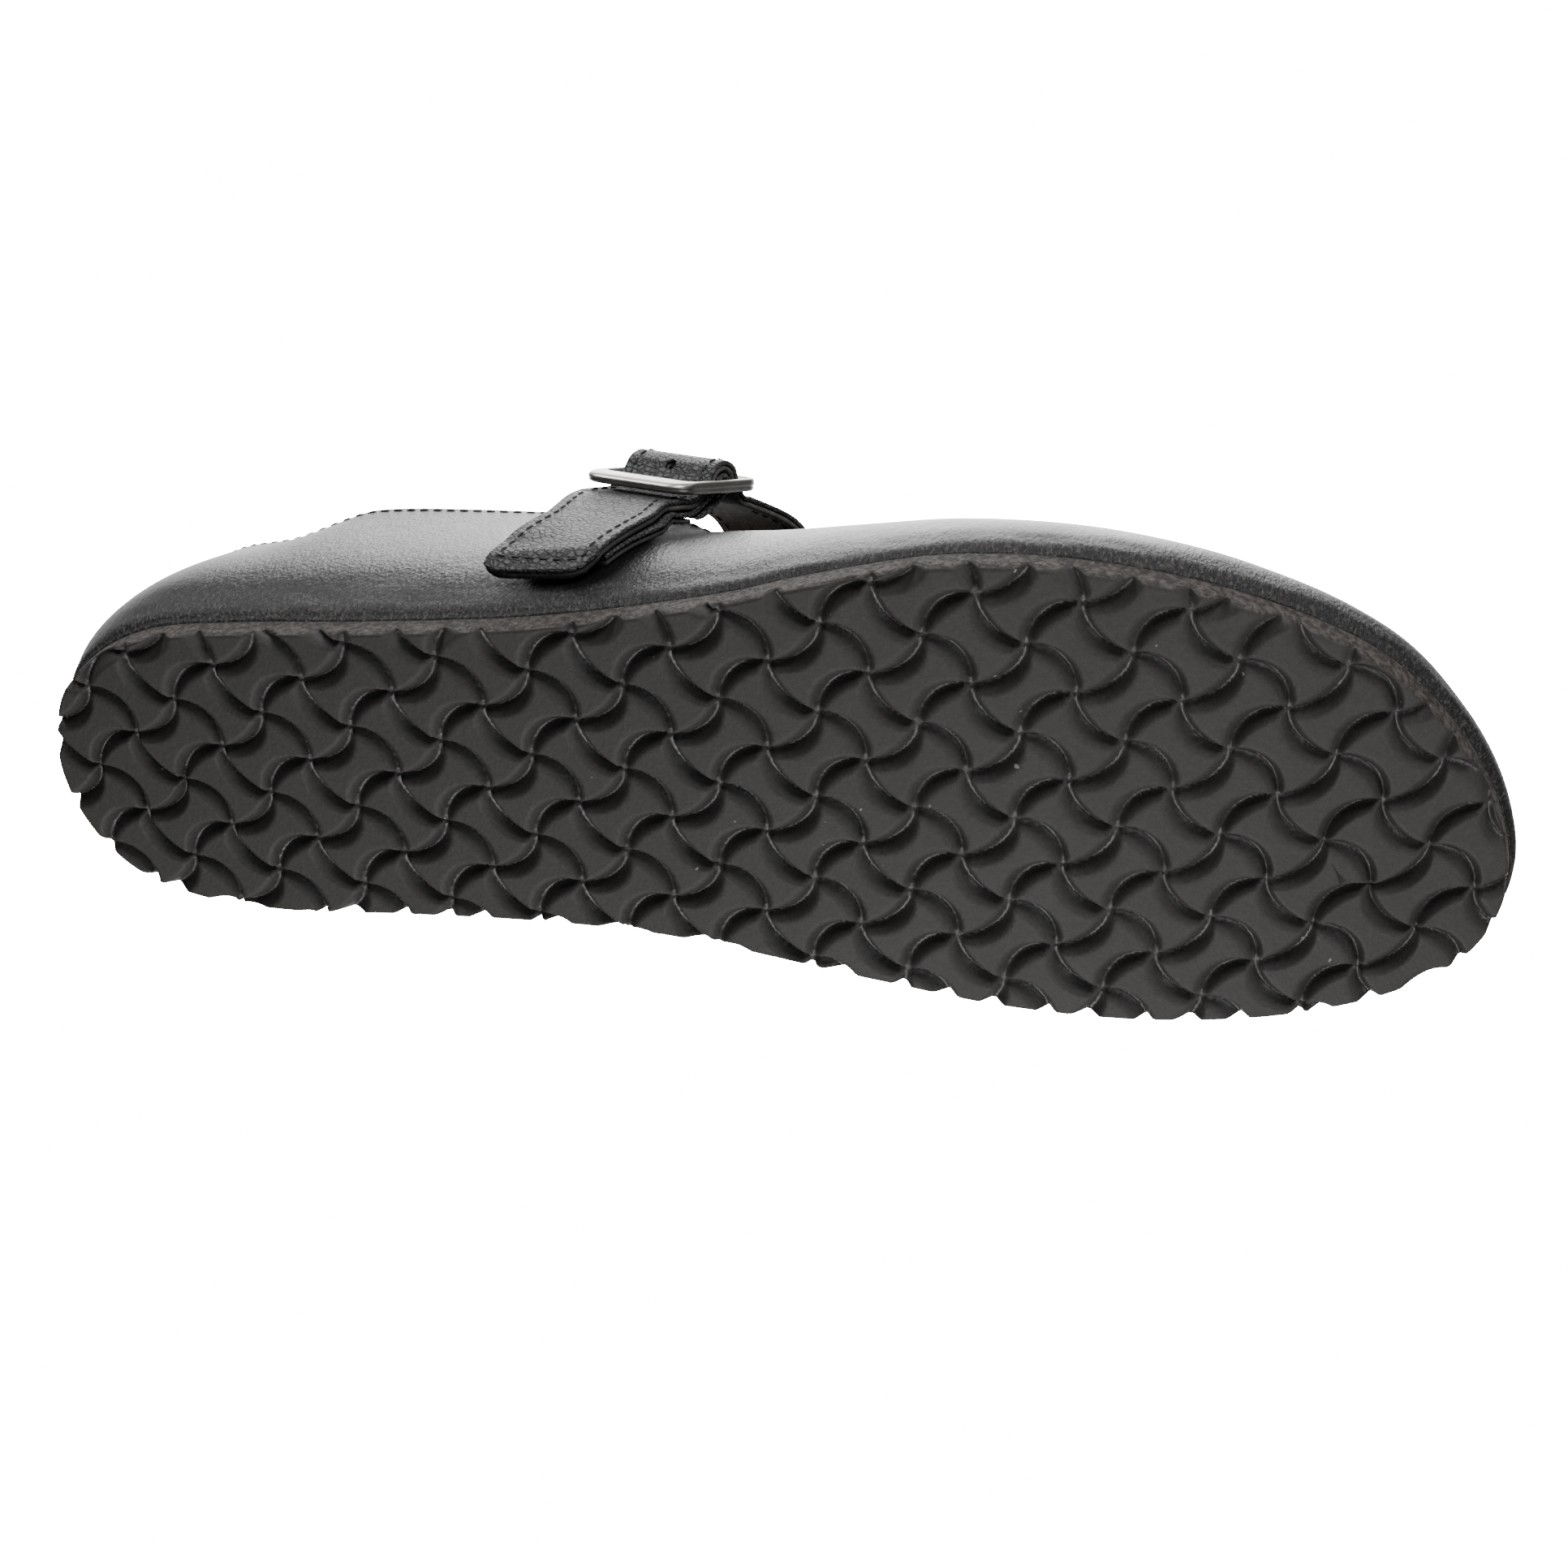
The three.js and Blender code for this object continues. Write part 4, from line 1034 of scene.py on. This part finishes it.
def ribbon(
    name, path, distances, half_width, depth, thickness, end_shift=None, relief=None, far_shift=None
):
    """A strip of leather along a path. Its section is a slab with half-round edges; distances are the
    rows; end_shift(side) slides the first row along the strap to shape the end."""
    columns = 17
    edge_turn = np.linspace(0, np.pi, 7)[1:-1]
    radius = min(thickness / 2, 0.45)
    flat_share = np.linspace(-1, 1, columns)
    half = half_width(distances)[:, None]
    inner = half - radius
    top_a = flat_share[None, :] * inner
    right_a = inner + radius * np.sin(edge_turn)[None, :]
    left_a = -inner - radius * np.sin(edge_turn)[None, :]
    corner_d = (1 - np.cos(edge_turn)) / 2 * thickness
    across_at = np.concatenate([top_a, right_a, top_a[:, ::-1], left_a[:, ::-1]], axis=1)
    deep_at = np.concatenate([
        np.zeros(columns), corner_d, np.full(columns, thickness), corner_d[::-1],
    ])
    side = across_at / half
    distance = np.repeat(distances[:, None], across_at.shape[1], axis=1)
    if end_shift is not None:
        span = distances[-1] - distances[0]
        distance = distance + end_shift(np.clip(side, -1, 1)) * (
            1 - (distance - distances[0]) / span
        )
    if far_shift is not None:
        near_end = smooth_step(distance, distances[-1] - 12, distances[-1])
        distance = distance - far_shift(np.clip(side, -1, 1)) * near_end
    place, flat, normal, _ = path[1](distance)
    lift = 0 if relief is None else relief(distance, across_at) * (1 - deep_at / thickness)
    deep = depth + deep_at[None, :]
    point = place + flat * across_at[..., None] - normal * (deep - lift)[..., None]
    point = clear_of_upper(point, path, deep - lift)
    rows, count = across_at.shape
    faces = [grid_faces(rows, count, wrap_columns=True)]
    bottom = np.arange(columns)
    for row, flip in ((0, False), (rows - 1, True)):
        top_line = row * count + bottom
        low_line = row * count + columns + len(edge_turn) + columns - 1 - bottom
        cap = np.stack([top_line[:-1], top_line[1:], low_line[1:], low_line[:-1]], axis=-1)
        faces.append(cap[:, ::-1] if flip else cap)
        for first, second in ((columns - 1, columns + len(edge_turn)), ):
            arc = row * count + np.arange(first, second + 1)
            fan = np.stack([arc[:-2], arc[1:-1], arc[2:], np.full(len(arc) - 2, arc[0])], axis=-1)
            fan[:, 0] = arc[0]
            fan = np.stack([np.full(len(arc) - 2, arc[0]), arc[1:-1], arc[2:], arc[2:]], axis=-1)
            faces.append(fan[:, ::-1] if flip else fan)
        arc = row * count + np.concatenate(
            [[0], np.arange(count - 1, count - len(edge_turn) - 2, -1)]
        )
        fan = np.stack([np.full(len(arc) - 2, arc[0]), arc[1:-1], arc[2:], arc[2:]], axis=-1)
        faces.append(fan if flip else fan[:, ::-1])
    return make_mesh(name, metres(point.reshape(-1, 3)), np.concatenate(faces)[:, ::-1])


wide_middle = (WIDE_START + WIDE_END) / 2
throat_top = THROAT_HEIGHT + 10
buckle_height = SIDE_HEIGHT - 12.6
tail_run = buckle_height - WIDE_BAR - TAIL_END_HEIGHT
short_run = buckle_height - WIDE_BAR - SHORT_FOOT
over_foot = np.array([1, 0.1, 0.12])
long_path = strap_path(
    [
        outer_wall(TAIL_END_HEIGHT, TAIL_OFF + 1.0),
        outer_wall(TAIL_END_HEIGHT + tail_run * 0.32, TAIL_OFF + WALL_STRAP),
        outer_wall(TAIL_END_HEIGHT + tail_run * 0.68, TAIL_OFF + WALL_STRAP + 0.4),
        in_buckle(0, WIDE_START - 2, UNDER_BAR - 0.2),
        in_buckle(0, wide_middle, UNDER_BAR),
        in_buckle(0, WIDE_END + 0.6, UNDER_BAR + 0.3),
        in_buckle(0, -STRAP_RADIUS * 1.05, STRAP_RADIUS * 0.28),
        in_buckle(0, -STRAP_RADIUS * 0.68, STRAP_RADIUS * 0.76),
        in_buckle(0, 0, STRAP_RADIUS),
        in_buckle(0, STRAP_RADIUS * 0.68, STRAP_RADIUS * 0.76),
        in_buckle(0, STRAP_RADIUS * 1.05, STRAP_RADIUS * 0.2),
        in_buckle(0, CENTRE_TO_THIN - THIN_BAR / 2 - 0.7, UNDER_BAR + 0.1),
        in_buckle(0, CENTRE_TO_THIN + THIN_BAR / 2, UNDER_BAR - 0.7),
        np.array([STRAP_X + 17, -19, throat_top - 4.5]),
        np.array([STRAP_X + 21, -2, throat_top]),
        np.array([STRAP_X + 21, 13, throat_top - 6]),
        on_wall(1, STRAP_X + 20, SIDE_HEIGHT - 2, TAIL_OFF + 3),
        on_wall(1, STRAP_X + 18, SIDE_HEIGHT - 15, TAIL_OFF + 0.6),
        on_wall(1, STRAP_X + 15, SIDE_HEIGHT - 30, TAIL_OFF + 0.3),
        on_wall(1, STRAP_X + 13, SEAM_HEIGHT + 9, TAIL_OFF + 0.3),
    ],
    lambda p: TAIL_OFF + np.where(
        p[..., 1] < 0,
        WALL_STRAP * smooth_step(p[..., 2], SHORT_FOOT - 9, SHORT_FOOT - 3.5) + 0.1,
        0.2
    ),
    over_foot,
)
long_length = long_path[0]


def nearest_distance(path, target):
    """Distance along a path to where it passes closest to a point."""
    run, line = path[3]
    return run[np.linalg.norm(line - target, axis=1).argmin()]


tail_hinge = nearest_distance(long_path, in_buckle(0, WIDE_START - 1.6, UNDER_BAR))
through_thin = nearest_distance(long_path, in_buckle(0, CENTRE_TO_THIN, UNDER_BAR))


def long_half_width(distance):
    """19.8 mm through the buckle, 26 mm at the sewn root, 20.8 mm at the free end."""
    root = smooth_step(distance, through_thin, long_length)
    end = 1 - smooth_step(distance, 0, tail_hinge)
    return (19.8 + 6.2 * root + 1.0 * end) / 2


def end_slant(side):
    """The free end is cut on a slant with one corner rounder than the other."""
    return 2.5 * (1 + side) / 2 + np.where(side > 0, 5, 1.2) * np.abs(side) ** 6


def root_corner(side):
    """The sewn root's corners are rounded."""
    return 3.5 * np.abs(side) ** 5


def strap_relief(distance, across_at):
    """Creases across the strap where it bends, and the shallow valley that each seam pulls in."""
    half = long_half_width(distance)
    seam = 0.16 * np.exp(-(((np.abs(across_at) - half + 2.2) / 0.55) ** 2))
    creases = 0.06 * waves(21, distance / 0.9, across_at / 5.5)
    return creases * 0.6 - seam


tail_rows = np.concatenate([np.linspace(0, 1.2, 6), np.linspace(1.2, tail_hinge - 0.12, 60)[1:]])
strap_rows = np.linspace(tail_hinge + 0.12, long_length, 330)


def strap_grain(shade):
    """Black grained leather: long irregular creases between raised pebbles. Its colour follows the
    relief: painted shade darkens the creases and painted highlights lighten the pebble tops.
    """
    broad = noise(shade, 40, 4, 0.6)
    grain = noise(shade, 1300, 4, 0.65)
    pebble = cells(shade, 950, "DISTANCE_TO_EDGE", stretch=(0.8, 1.3, 1.0))
    creases = noise(shade, 750, 4, 0.7, stretch=(0.6, 1.5, 1.9), seed=1.0)
    # Colour follows the relief: painted shade in the creases, painted highlights on the pebble tops.
    tops = pebble.smooth(0.02, 0.22) * 0.6 + creases * 0.9
    tone = tops.smooth(0.45, 1.1)
    return {
        "Base_Color": tone.mix(rgb(0.0260, 0.0280, 0.0265), rgb(0.0920, 0.0980, 0.0935)),
        "Roughness": 0.40 + broad * 0.14,
        "height": tops + grain * 0.3,
        "bump": 0.00035,
    }


def flesh_side(shade):
    """The strap's suede underside: grey-brown with darker dyed patches."""
    return brushed(shade, rgb(0.050, 0.047, 0.044), rgb(0.150, 0.141, 0.132))


strap_leather = finish_material("strap_grain", strap_grain)
strap_suede = finish_material("strap_flesh_side", flesh_side)


def dyed_edge(shade):
    """Leather dyed black through, rough and a little green where its fibres catch the light."""
    return brushed(shade, rgb(0.014, 0.017, 0.016), rgb(0.048, 0.056, 0.052))


dyed_leather = finish_material("dyed_flesh_side", dyed_edge)
LINING_UNDER = STRAP_LEATHER + 0.05
LINING_THICK = STRAP_LINING + LAYER_GAP - 0.05
tail = ribbon(
    "tail_grain_layer", long_path, tail_rows, long_half_width, 0, STRAP_LEATHER,
    end_slant, strap_relief
)
tail_back = ribbon(
    "tail_flesh_layer", long_path, tail_rows, lambda d: long_half_width(d) - 0.15,
    LINING_UNDER, LINING_THICK, end_slant,
)
strap = ribbon(
    "strap_grain_layer", long_path, strap_rows, long_half_width, 0, STRAP_LEATHER,
    relief=strap_relief, far_shift=root_corner,
)
strap_back = ribbon(
    "strap_flesh_layer", long_path, strap_rows, lambda d: long_half_width(d) - 0.15,
    LINING_UNDER, LINING_THICK, far_shift=root_corner,
)
for piece, node, body, material, slot in (
    (tail, "strap_tail_leather", "strap_tail", strap_leather, "strap_black"),
    (tail_back, "strap_tail_lining", "strap_tail", dyed_leather, "suede_grey"),
    (strap, "strap_leather", "shoe", strap_leather, "strap_black"),
    (strap_back, "strap_lining", "shoe", strap_suede, "suede_grey"),
):
    piece.data.materials.append(material)
    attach(piece, body)
    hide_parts(node)


# ---- Holes in the long strap ----
# Round holes are punched through both layers. The one that the prong fills is pulled long; the next
# one shows where the strap rides over the centre bar.
HOLE_RADIUS = 1.2
PRONG_RADIUS = 0.65


def punch(piece, start, end, radius):
    """Cuts a round hole through a piece, from one point to another."""
    turn = np.linspace(0, 2 * np.pi, 28, endpoint=False)
    direction = unit(end - start)
    first = unit(np.cross(direction, [0.3, 0.2, 1.0]))
    second = np.cross(direction, first)
    ring = radius * (np.cos(turn)[:, None] * first + np.sin(turn)[:, None] * second)
    tube = np.stack([start + 0 * ring, start + ring, end + ring, end + 0 * ring])
    cutter = make_mesh(
        "cutter", metres(tube.reshape(-1, 3)), grid_faces(4, 28, wrap_columns=True)[:, ::-1]
    )
    cut = piece.modifiers.new("hole", "BOOLEAN")
    cut.operation = "DIFFERENCE"
    cut.solver = "EXACT"
    cut.object = cutter
    seen = piece.evaluated_get(bpy.context.evaluated_depsgraph_get())
    punched = bpy.data.meshes.new_from_object(seen)
    piece.modifiers.clear()
    piece.data = punched
    bpy.data.objects.remove(cutter)


prong_rest = BUCKLE_THICKNESS / 2 + LAYER_GAP + PRONG_RADIUS
prong_start = in_buckle(0, 1.45, 0.9)
prong_tip = in_buckle(0, CENTRE_TO_THIN + THIN_BAR / 2 - 0.4, prong_rest)
free_hole = nearest_distance(long_path, in_buckle(0, -STRAP_RADIUS * 0.80, STRAP_RADIUS * 0.64))
hole_place, _, hole_normal, _ = long_path[1](np.array([free_hole]))
prong_line = unit(prong_tip - prong_start)
for layer in (strap, strap_back):
    punch(
        layer,
        hole_place[0] + hole_normal[0] * 1.5,
        hole_place[0] - hole_normal[0] * 2.3,
        HOLE_RADIUS
    )
    for raised in (-0.3, 0.3, 0.9):
        punch(
            layer,
            prong_start + prong_line * 0.4 + OUT * raised,
            prong_tip + OUT * (raised + 0.1),
            HOLE_RADIUS
        )

# ---- Buckle's own strap ----
# A single leather strap, backed with suede, is sewn to the outer side beneath the free end. It is
# folded round the centre bar and sewn back under itself.
run_depth = UNDER_BAR - STRAP - LAYER_GAP
short_off = LAYER_GAP + LOOP + LAYER_GAP + STRAP_LINING


def round_bar(degrees):
    turn = math.radians(degrees)
    return in_buckle(0, LOOP_OUTER * math.sin(turn), LOOP_OUTER * math.cos(turn))


short_path = strap_path(
    [
        outer_wall(SHORT_FOOT, short_off),
        outer_wall(SHORT_FOOT + short_run * 0.4, short_off),
        outer_wall(SHORT_FOOT + short_run * 0.7, short_off),
        in_buckle(0, WIDE_START, run_depth - 0.1),
        in_buckle(0, WIDE_END - 0.5, run_depth),
        in_buckle(0, WIDE_END + 2.6, run_depth + 1.4),
        in_buckle(0, -LOOP_OUTER - 1.1, -0.9),
        *(round_bar(degrees) for degrees in (-62, 0, 60, 115, 165)),
        in_buckle(0, -2.6, -LOOP_OUTER - 2.2),
        in_buckle(0, WIDE_END + 1.2, run_depth - LOOP - LAYER_GAP - LOOP - 0.05),
    ],
    lambda p: short_off + 0 * p[..., 0],
)
short_rows = np.linspace(0, short_path[0], 200)
backing_end = nearest_distance(short_path, in_buckle(0, WIDE_END - 0.8, run_depth))


def short_half_width(distance):
    return 9.9 + 0 * distance


loop_strap = ribbon("buckle_strap_layer", short_path, short_rows, short_half_width, 0, LOOP)
loop_back = ribbon(
    "buckle_strap_backing", short_path, np.linspace(0, backing_end, 80), lambda d: 9.75 + 0 * d,
    LOOP + LAYER_GAP, STRAP_LINING,
)
for piece, node, material, slot in (
    (loop_strap, "buckle_strap_leather", strap_leather, "strap_black"),
    (loop_back, "buckle_strap_lining", dyed_leather, "suede_grey"),
):
    piece.data.materials.append(material)
    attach(piece, "shoe")
    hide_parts(node)

# ---- Buckle ----
# A cast steel frame, brushed satin, with one wide bar and softly rounded corners, and a fine line
# round its rim. A steel bar crosses it and carries a bent wire prong, which lies on the thin bar.


def rounded_rectangle(half_width, low, high, radius, straight=24, bend=12):
    """A closed loop of points (a, u) with the same number on each side and corner."""
    turn = np.linspace(0, np.pi / 2, bend, endpoint=False)
    share = np.linspace(0, 1, straight, endpoint=False)[:, None]
    corners = [
        (half_width - radius, low + radius, -np.pi / 2), (half_width - radius, high - radius, 0),
        (-half_width + radius, high - radius, np.pi / 2), (
            -half_width + radius, low + radius, np.pi
        ),
    ]
    pieces = []
    for k, (a, u, start) in enumerate(corners):
        arc = np.stack(
            [a + radius * np.cos(turn + start), u + radius * np.sin(turn + start)], axis=-1
        )
        end = np.array(
            [a + radius * math.cos(start + np.pi / 2), u + radius * math.sin(start + np.pi / 2)]
        )
        next_a, next_u, next_start = corners[(k + 1) % 4]
        begin = np.array([
            next_a + radius * math.cos(next_start), next_u + radius * math.sin(next_start)
        ])
        pieces.extend([arc, end * (1 - share) + begin * share])
    return np.concatenate(pieces)


outer_loop = rounded_rectangle(BUCKLE_WIDTH / 2, WIDE_START, WIDE_START + BUCKLE_LENGTH, 4.0)
inner_loop = rounded_rectangle(
    BUCKLE_WIDTH / 2 - SIDE_BAR, WIDE_END, CENTRE_TO_THIN - THIN_BAR / 2, 1.3
)
turn = np.linspace(0, 2 * np.pi, 48, endpoint=False)
flatness = 2.7
span = np.sign(np.cos(turn)) * np.abs(np.cos(turn)) ** (2 / flatness)
thick = np.sign(np.sin(turn)) * np.abs(np.sin(turn)) ** (2 / flatness)
rim_line = 0.30 * np.exp(-(((thick + 0.25) / 0.16) ** 2)) * (span > 0.5)
centre_line = (outer_loop + inner_loop) / 2
half_span = (outer_loop - inner_loop) / 2
wide = np.linalg.norm(half_span, axis=1, keepdims=True)
plan = (
    centre_line[:, None] + half_span[:, None] * (span - rim_line / np.maximum(wide, 1))[..., None]
)
dome = 0.16 * (span[None, :] ** 2) * np.sign(thick)
height = BUCKLE_THICKNESS / 2 * thick[None, :] - dome * np.minimum(wide / 3.5, 1)
buckle_points = (
    BUCKLE + ACROSS * plan[..., :1] + UP * plan[..., 1:] + OUT * (height + 0 * plan[..., 0])[..., None]
)
buckle_faces = grid_faces(len(outer_loop), len(turn), wrap_rows=True, wrap_columns=True)
buckle = make_mesh("buckle_body", metres(buckle_points.reshape(-1, 3)), buckle_faces)


def satin_steel(shade):
    """Brushed nickel steel: fine scratches along the bars and patches of darker tarnish."""
    place = shade.node("ShaderNodeTexCoord", output=3)
    turned = shade.node(
        "ShaderNodeMapping", Vector=place, Rotation=(0.0, 0.318, -0.158), Scale=(0.05, 1.0, 1.0)
    )
    brush = shade.node("ShaderNodeTexNoise", Vector=turned, Scale=5200.0, Detail=2.0, Roughness=0.7)
    tarnish = noise(shade, 160, 3, 0.6)
    return {
        "Base_Color": tarnish.smooth(0.35, 0.7).mix(rgb(0.62, 0.60, 0.575), rgb(0.50, 0.48, 0.455)),
        "Metallic": 1.0,
        "Roughness": 0.27 + brush * 0.12 + tarnish * 0.06,
        "height": brush,
        "bump": 0.00003,
    }


steel = finish_material("satin_steel", satin_steel)
buckle.data.materials.append(steel)
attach(buckle, "buckle")
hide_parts("buckle_frame")


def tube(line, radius, sides=20, closed=False, bend_hint=(0.0, 0.0, 1.0)):
    """A round wire along a line of points; radius may vary along it and falls to 0 at open ends."""
    line = np.array(line)
    along = unit(np.gradient(line, axis=0))
    if closed:
        along = unit(np.roll(line, -1, axis=0) - np.roll(line, 1, axis=0))
    first = unit(np.cross(along, bend_hint))
    second = np.cross(along, first)
    turns = np.linspace(0, 2 * np.pi, sides, endpoint=False)
    ring = (
        np.cos(turns)[None, :, None] * first[:, None]
        + np.sin(turns)[None, :, None] * second[:, None]
    )
    points = line[:, None] + ring * np.broadcast_to(radius, len(line))[:, None, None]
    faces = grid_faces(len(line), sides, wrap_rows=closed, wrap_columns=True)[:, ::-1]
    return points.reshape(-1, 3), faces


EYE_WIRE = 0.4
EYE_GAP = 0.15
PRONG_BOW = 0.35
TIP_START = 0.9
TIP_LENGTH = 0.1
bar_ends = np.linspace(-1, 1, 41)
bar_line = in_buckle(0, 0, 0) + ACROSS * (bar_ends * (BUCKLE_WIDTH / 2 - 0.3))[:, None]
bar_radius = BAR_RADIUS * np.minimum(1, np.sqrt(np.maximum(1 - np.abs(bar_ends), 0) * 20))
bar_points, bar_faces = tube(bar_line, bar_radius, bend_hint=UP)
bar = make_mesh("buckle_cross_bar", metres(bar_points), bar_faces)
eye_turn = np.linspace(0, 2 * np.pi, 36, endpoint=False)[:, None]
eye_radius = BAR_RADIUS + EYE_GAP + EYE_WIRE
eye_line = BUCKLE + (UP * np.cos(eye_turn) + OUT * np.sin(eye_turn)) * eye_radius
eye_points, eye_faces = tube(eye_line, EYE_WIRE, sides=14, closed=True, bend_hint=ACROSS)
reach = np.linspace(0, 1, 60)[:, None]
bow = PRONG_BOW * np.sin(np.pi * reach)
prong_path = prong_start * (1 - reach) + prong_tip * reach + OUT * bow
prong_size = PRONG_RADIUS * np.sqrt(np.clip(1 - (reach[:, 0] - TIP_START) / TIP_LENGTH, 0, 1))
prong_size = np.where(reach[:, 0] < TIP_START, PRONG_RADIUS, prong_size) * np.minimum(
    1, 0.75 + 2.5 * reach[:, 0]
)
wire_points, wire_faces = tube(prong_path, prong_size, bend_hint=ACROSS)
prong_points = np.concatenate([eye_points, wire_points])
prong_faces = np.concatenate([eye_faces, wire_faces + len(eye_points)])
prong = make_mesh("buckle_prong_wire", metres(prong_points), prong_faces)
for piece, node, body in ((bar, "buckle_centre_bar", "buckle"), (prong, "buckle_prong", "prong")):
    piece.data.materials.append(steel)
    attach(piece, body)
    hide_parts(node)

# ---- Stitching ----
# Bonded black thread, sewn as lock stitches: each is a short rounded length that dips into the
# leather at both ends. It runs inside the straps' edges and under the mouth's folded edge.
THREAD = 0.27
STITCH_PITCH = 2.7
STITCH_LENGTH = 2.15
SEAM_INSET = 2.2


def stitches(line, normals):
    """Points and faces of stitches along a line that lies on leather."""
    run = np.concatenate([[0], np.cumsum(np.linalg.norm(np.diff(line, axis=0), axis=1))])
    count = int(run[-1] // STITCH_PITCH)
    middle = (np.arange(count) + 0.5) * (run[-1] / count)

    def on_line(distance, values):
        return np.stack([np.interp(distance, run, values[:, k]) for k in range(3)], axis=-1)

    reach = np.linspace(-1, 1, 9)
    turns = np.linspace(0, 2 * np.pi, 8, endpoint=False)
    distance = middle[:, None] + reach[None, :] * STITCH_LENGTH / 2
    place = on_line(distance, line)
    normal = unit(on_line(distance, normals))
    along = unit(on_line(distance + 0.05, line) - on_line(distance - 0.05, line))
    sideways = np.cross(normal, along)
    radius = THREAD * np.sqrt(np.clip(1 - reach**4, 0, 1))
    sunk = -0.03 - 0.24 * reach**4
    ring = (
        sideways[:, :, None] * np.cos(turns)[:, None] + normal[:, :, None] * np.sin(turns)[:, None]
    )
    points = (
        place[:, :, None] + ring * radius[None, :, None, None]
        + (normal * sunk[None, :, None])[:, :, None]
    )
    one = grid_faces(len(reach), len(turns), wrap_columns=True)[:, ::-1]
    shift = np.arange(count)[:, None, None] * len(reach) * len(turns)
    return points.reshape(-1, 3), (one[None] + shift).reshape(-1, 4)


def on_strap(path, distance, across_at, depth=0.0):
    """Points on a strap's face, and the face's outward normals."""
    place, flat, normal, _ = path[1](distance)
    point = clear_of_upper(place + flat * across_at[:, None] - normal * depth, path, depth)
    return point, normal


def thread_piece(name, seams, body, material):
    points = []
    faces = []
    start = 0
    for line, normals in seams:
        made, quads = stitches(line, normals)
        points.append(made)
        faces.append(quads + start)
        start += len(made)
    piece = make_mesh(name, metres(np.concatenate(points)), np.concatenate(faces))
    piece.data.materials.append(material)
    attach(piece, body)


def thread(shade):
    """Twisted black thread with a dull waxed shine."""
    twist = noise(shade, 2600, 2, 0.5, stretch=(1, 1.6, 2.2))
    return {
        "Base_Color": twist.smooth(0.35, 0.65).mix(
            rgb(0.004, 0.004, 0.0045), rgb(0.016, 0.016, 0.017)
        ),
        "Roughness": 0.55,
        "height": twist,
        "bump": 0.00006,
    }


black_thread = finish_material("black_thread", thread)
tail_down = np.linspace(tail_hinge - 0.6, 5, 60)
turn_share = np.linspace(-1, 1, 40)
foot_half = long_half_width(np.array([3.0]))[0]
foot_line = end_slant(turn_share * (1 - SEAM_INSET / foot_half)) + 2.5
foot_across = turn_share * (foot_half - SEAM_INSET)
side_half = long_half_width(tail_down) - SEAM_INSET
left_keep = tail_down > foot_line[0]
right_keep = tail_down > foot_line[-1]
tail_distance = np.concatenate([tail_down[left_keep], foot_line, tail_down[right_keep][::-1]])
tail_across = np.concatenate([-side_half[left_keep], foot_across, side_half[right_keep][::-1]])
thread_piece(
    "tail_thread", [on_strap(long_path, tail_distance, tail_across)], "strap_tail", black_thread
)

strap_run = np.linspace(tail_hinge + 0.8, long_length - 3.2, 500)
under_run = np.linspace(through_thin + 5, long_length - 46, 200)
box_share = np.linspace(-1, 1, 40)
strap_seams = []
for side in (-1, 1):
    strap_seams.append(
        on_strap(long_path, strap_run, side * (long_half_width(strap_run) - SEAM_INSET))
    )
    line, normal = on_strap(
        long_path, under_run, side * (long_half_width(under_run) - SEAM_INSET), STRAP + 0.05
    )
    strap_seams.append((line, -normal))
for back in (3.2, 16.0):
    cross = np.full(40, long_length - back)
    reach_across = long_half_width(cross[:1])[0] - SEAM_INSET - 1.0
    strap_seams.append(on_strap(long_path, cross, box_share * reach_across))
for back in (1.6, 9.0):
    cross = np.full(40, back)
    strap_seams.append(on_strap(short_path, cross, box_share * 6.2))
thread_piece("strap_thread", strap_seams, "shoe", black_thread)

edge_x, _, edge_halves = upper_halves(np.array([0.930, 0.943, 0.956]))
open_x = edge_x < 133
edge_line = np.concatenate([edge_halves[0][0][open_x, 1][::-1], edge_halves[1][0][open_x, 1][1:]])
edge_normal = np.concatenate([edge_halves[0][1][open_x, 1][::-1], edge_halves[1][1][open_x, 1][1:]])
thread_piece("mouth_thread", [(edge_line, edge_normal)], "shoe", black_thread)
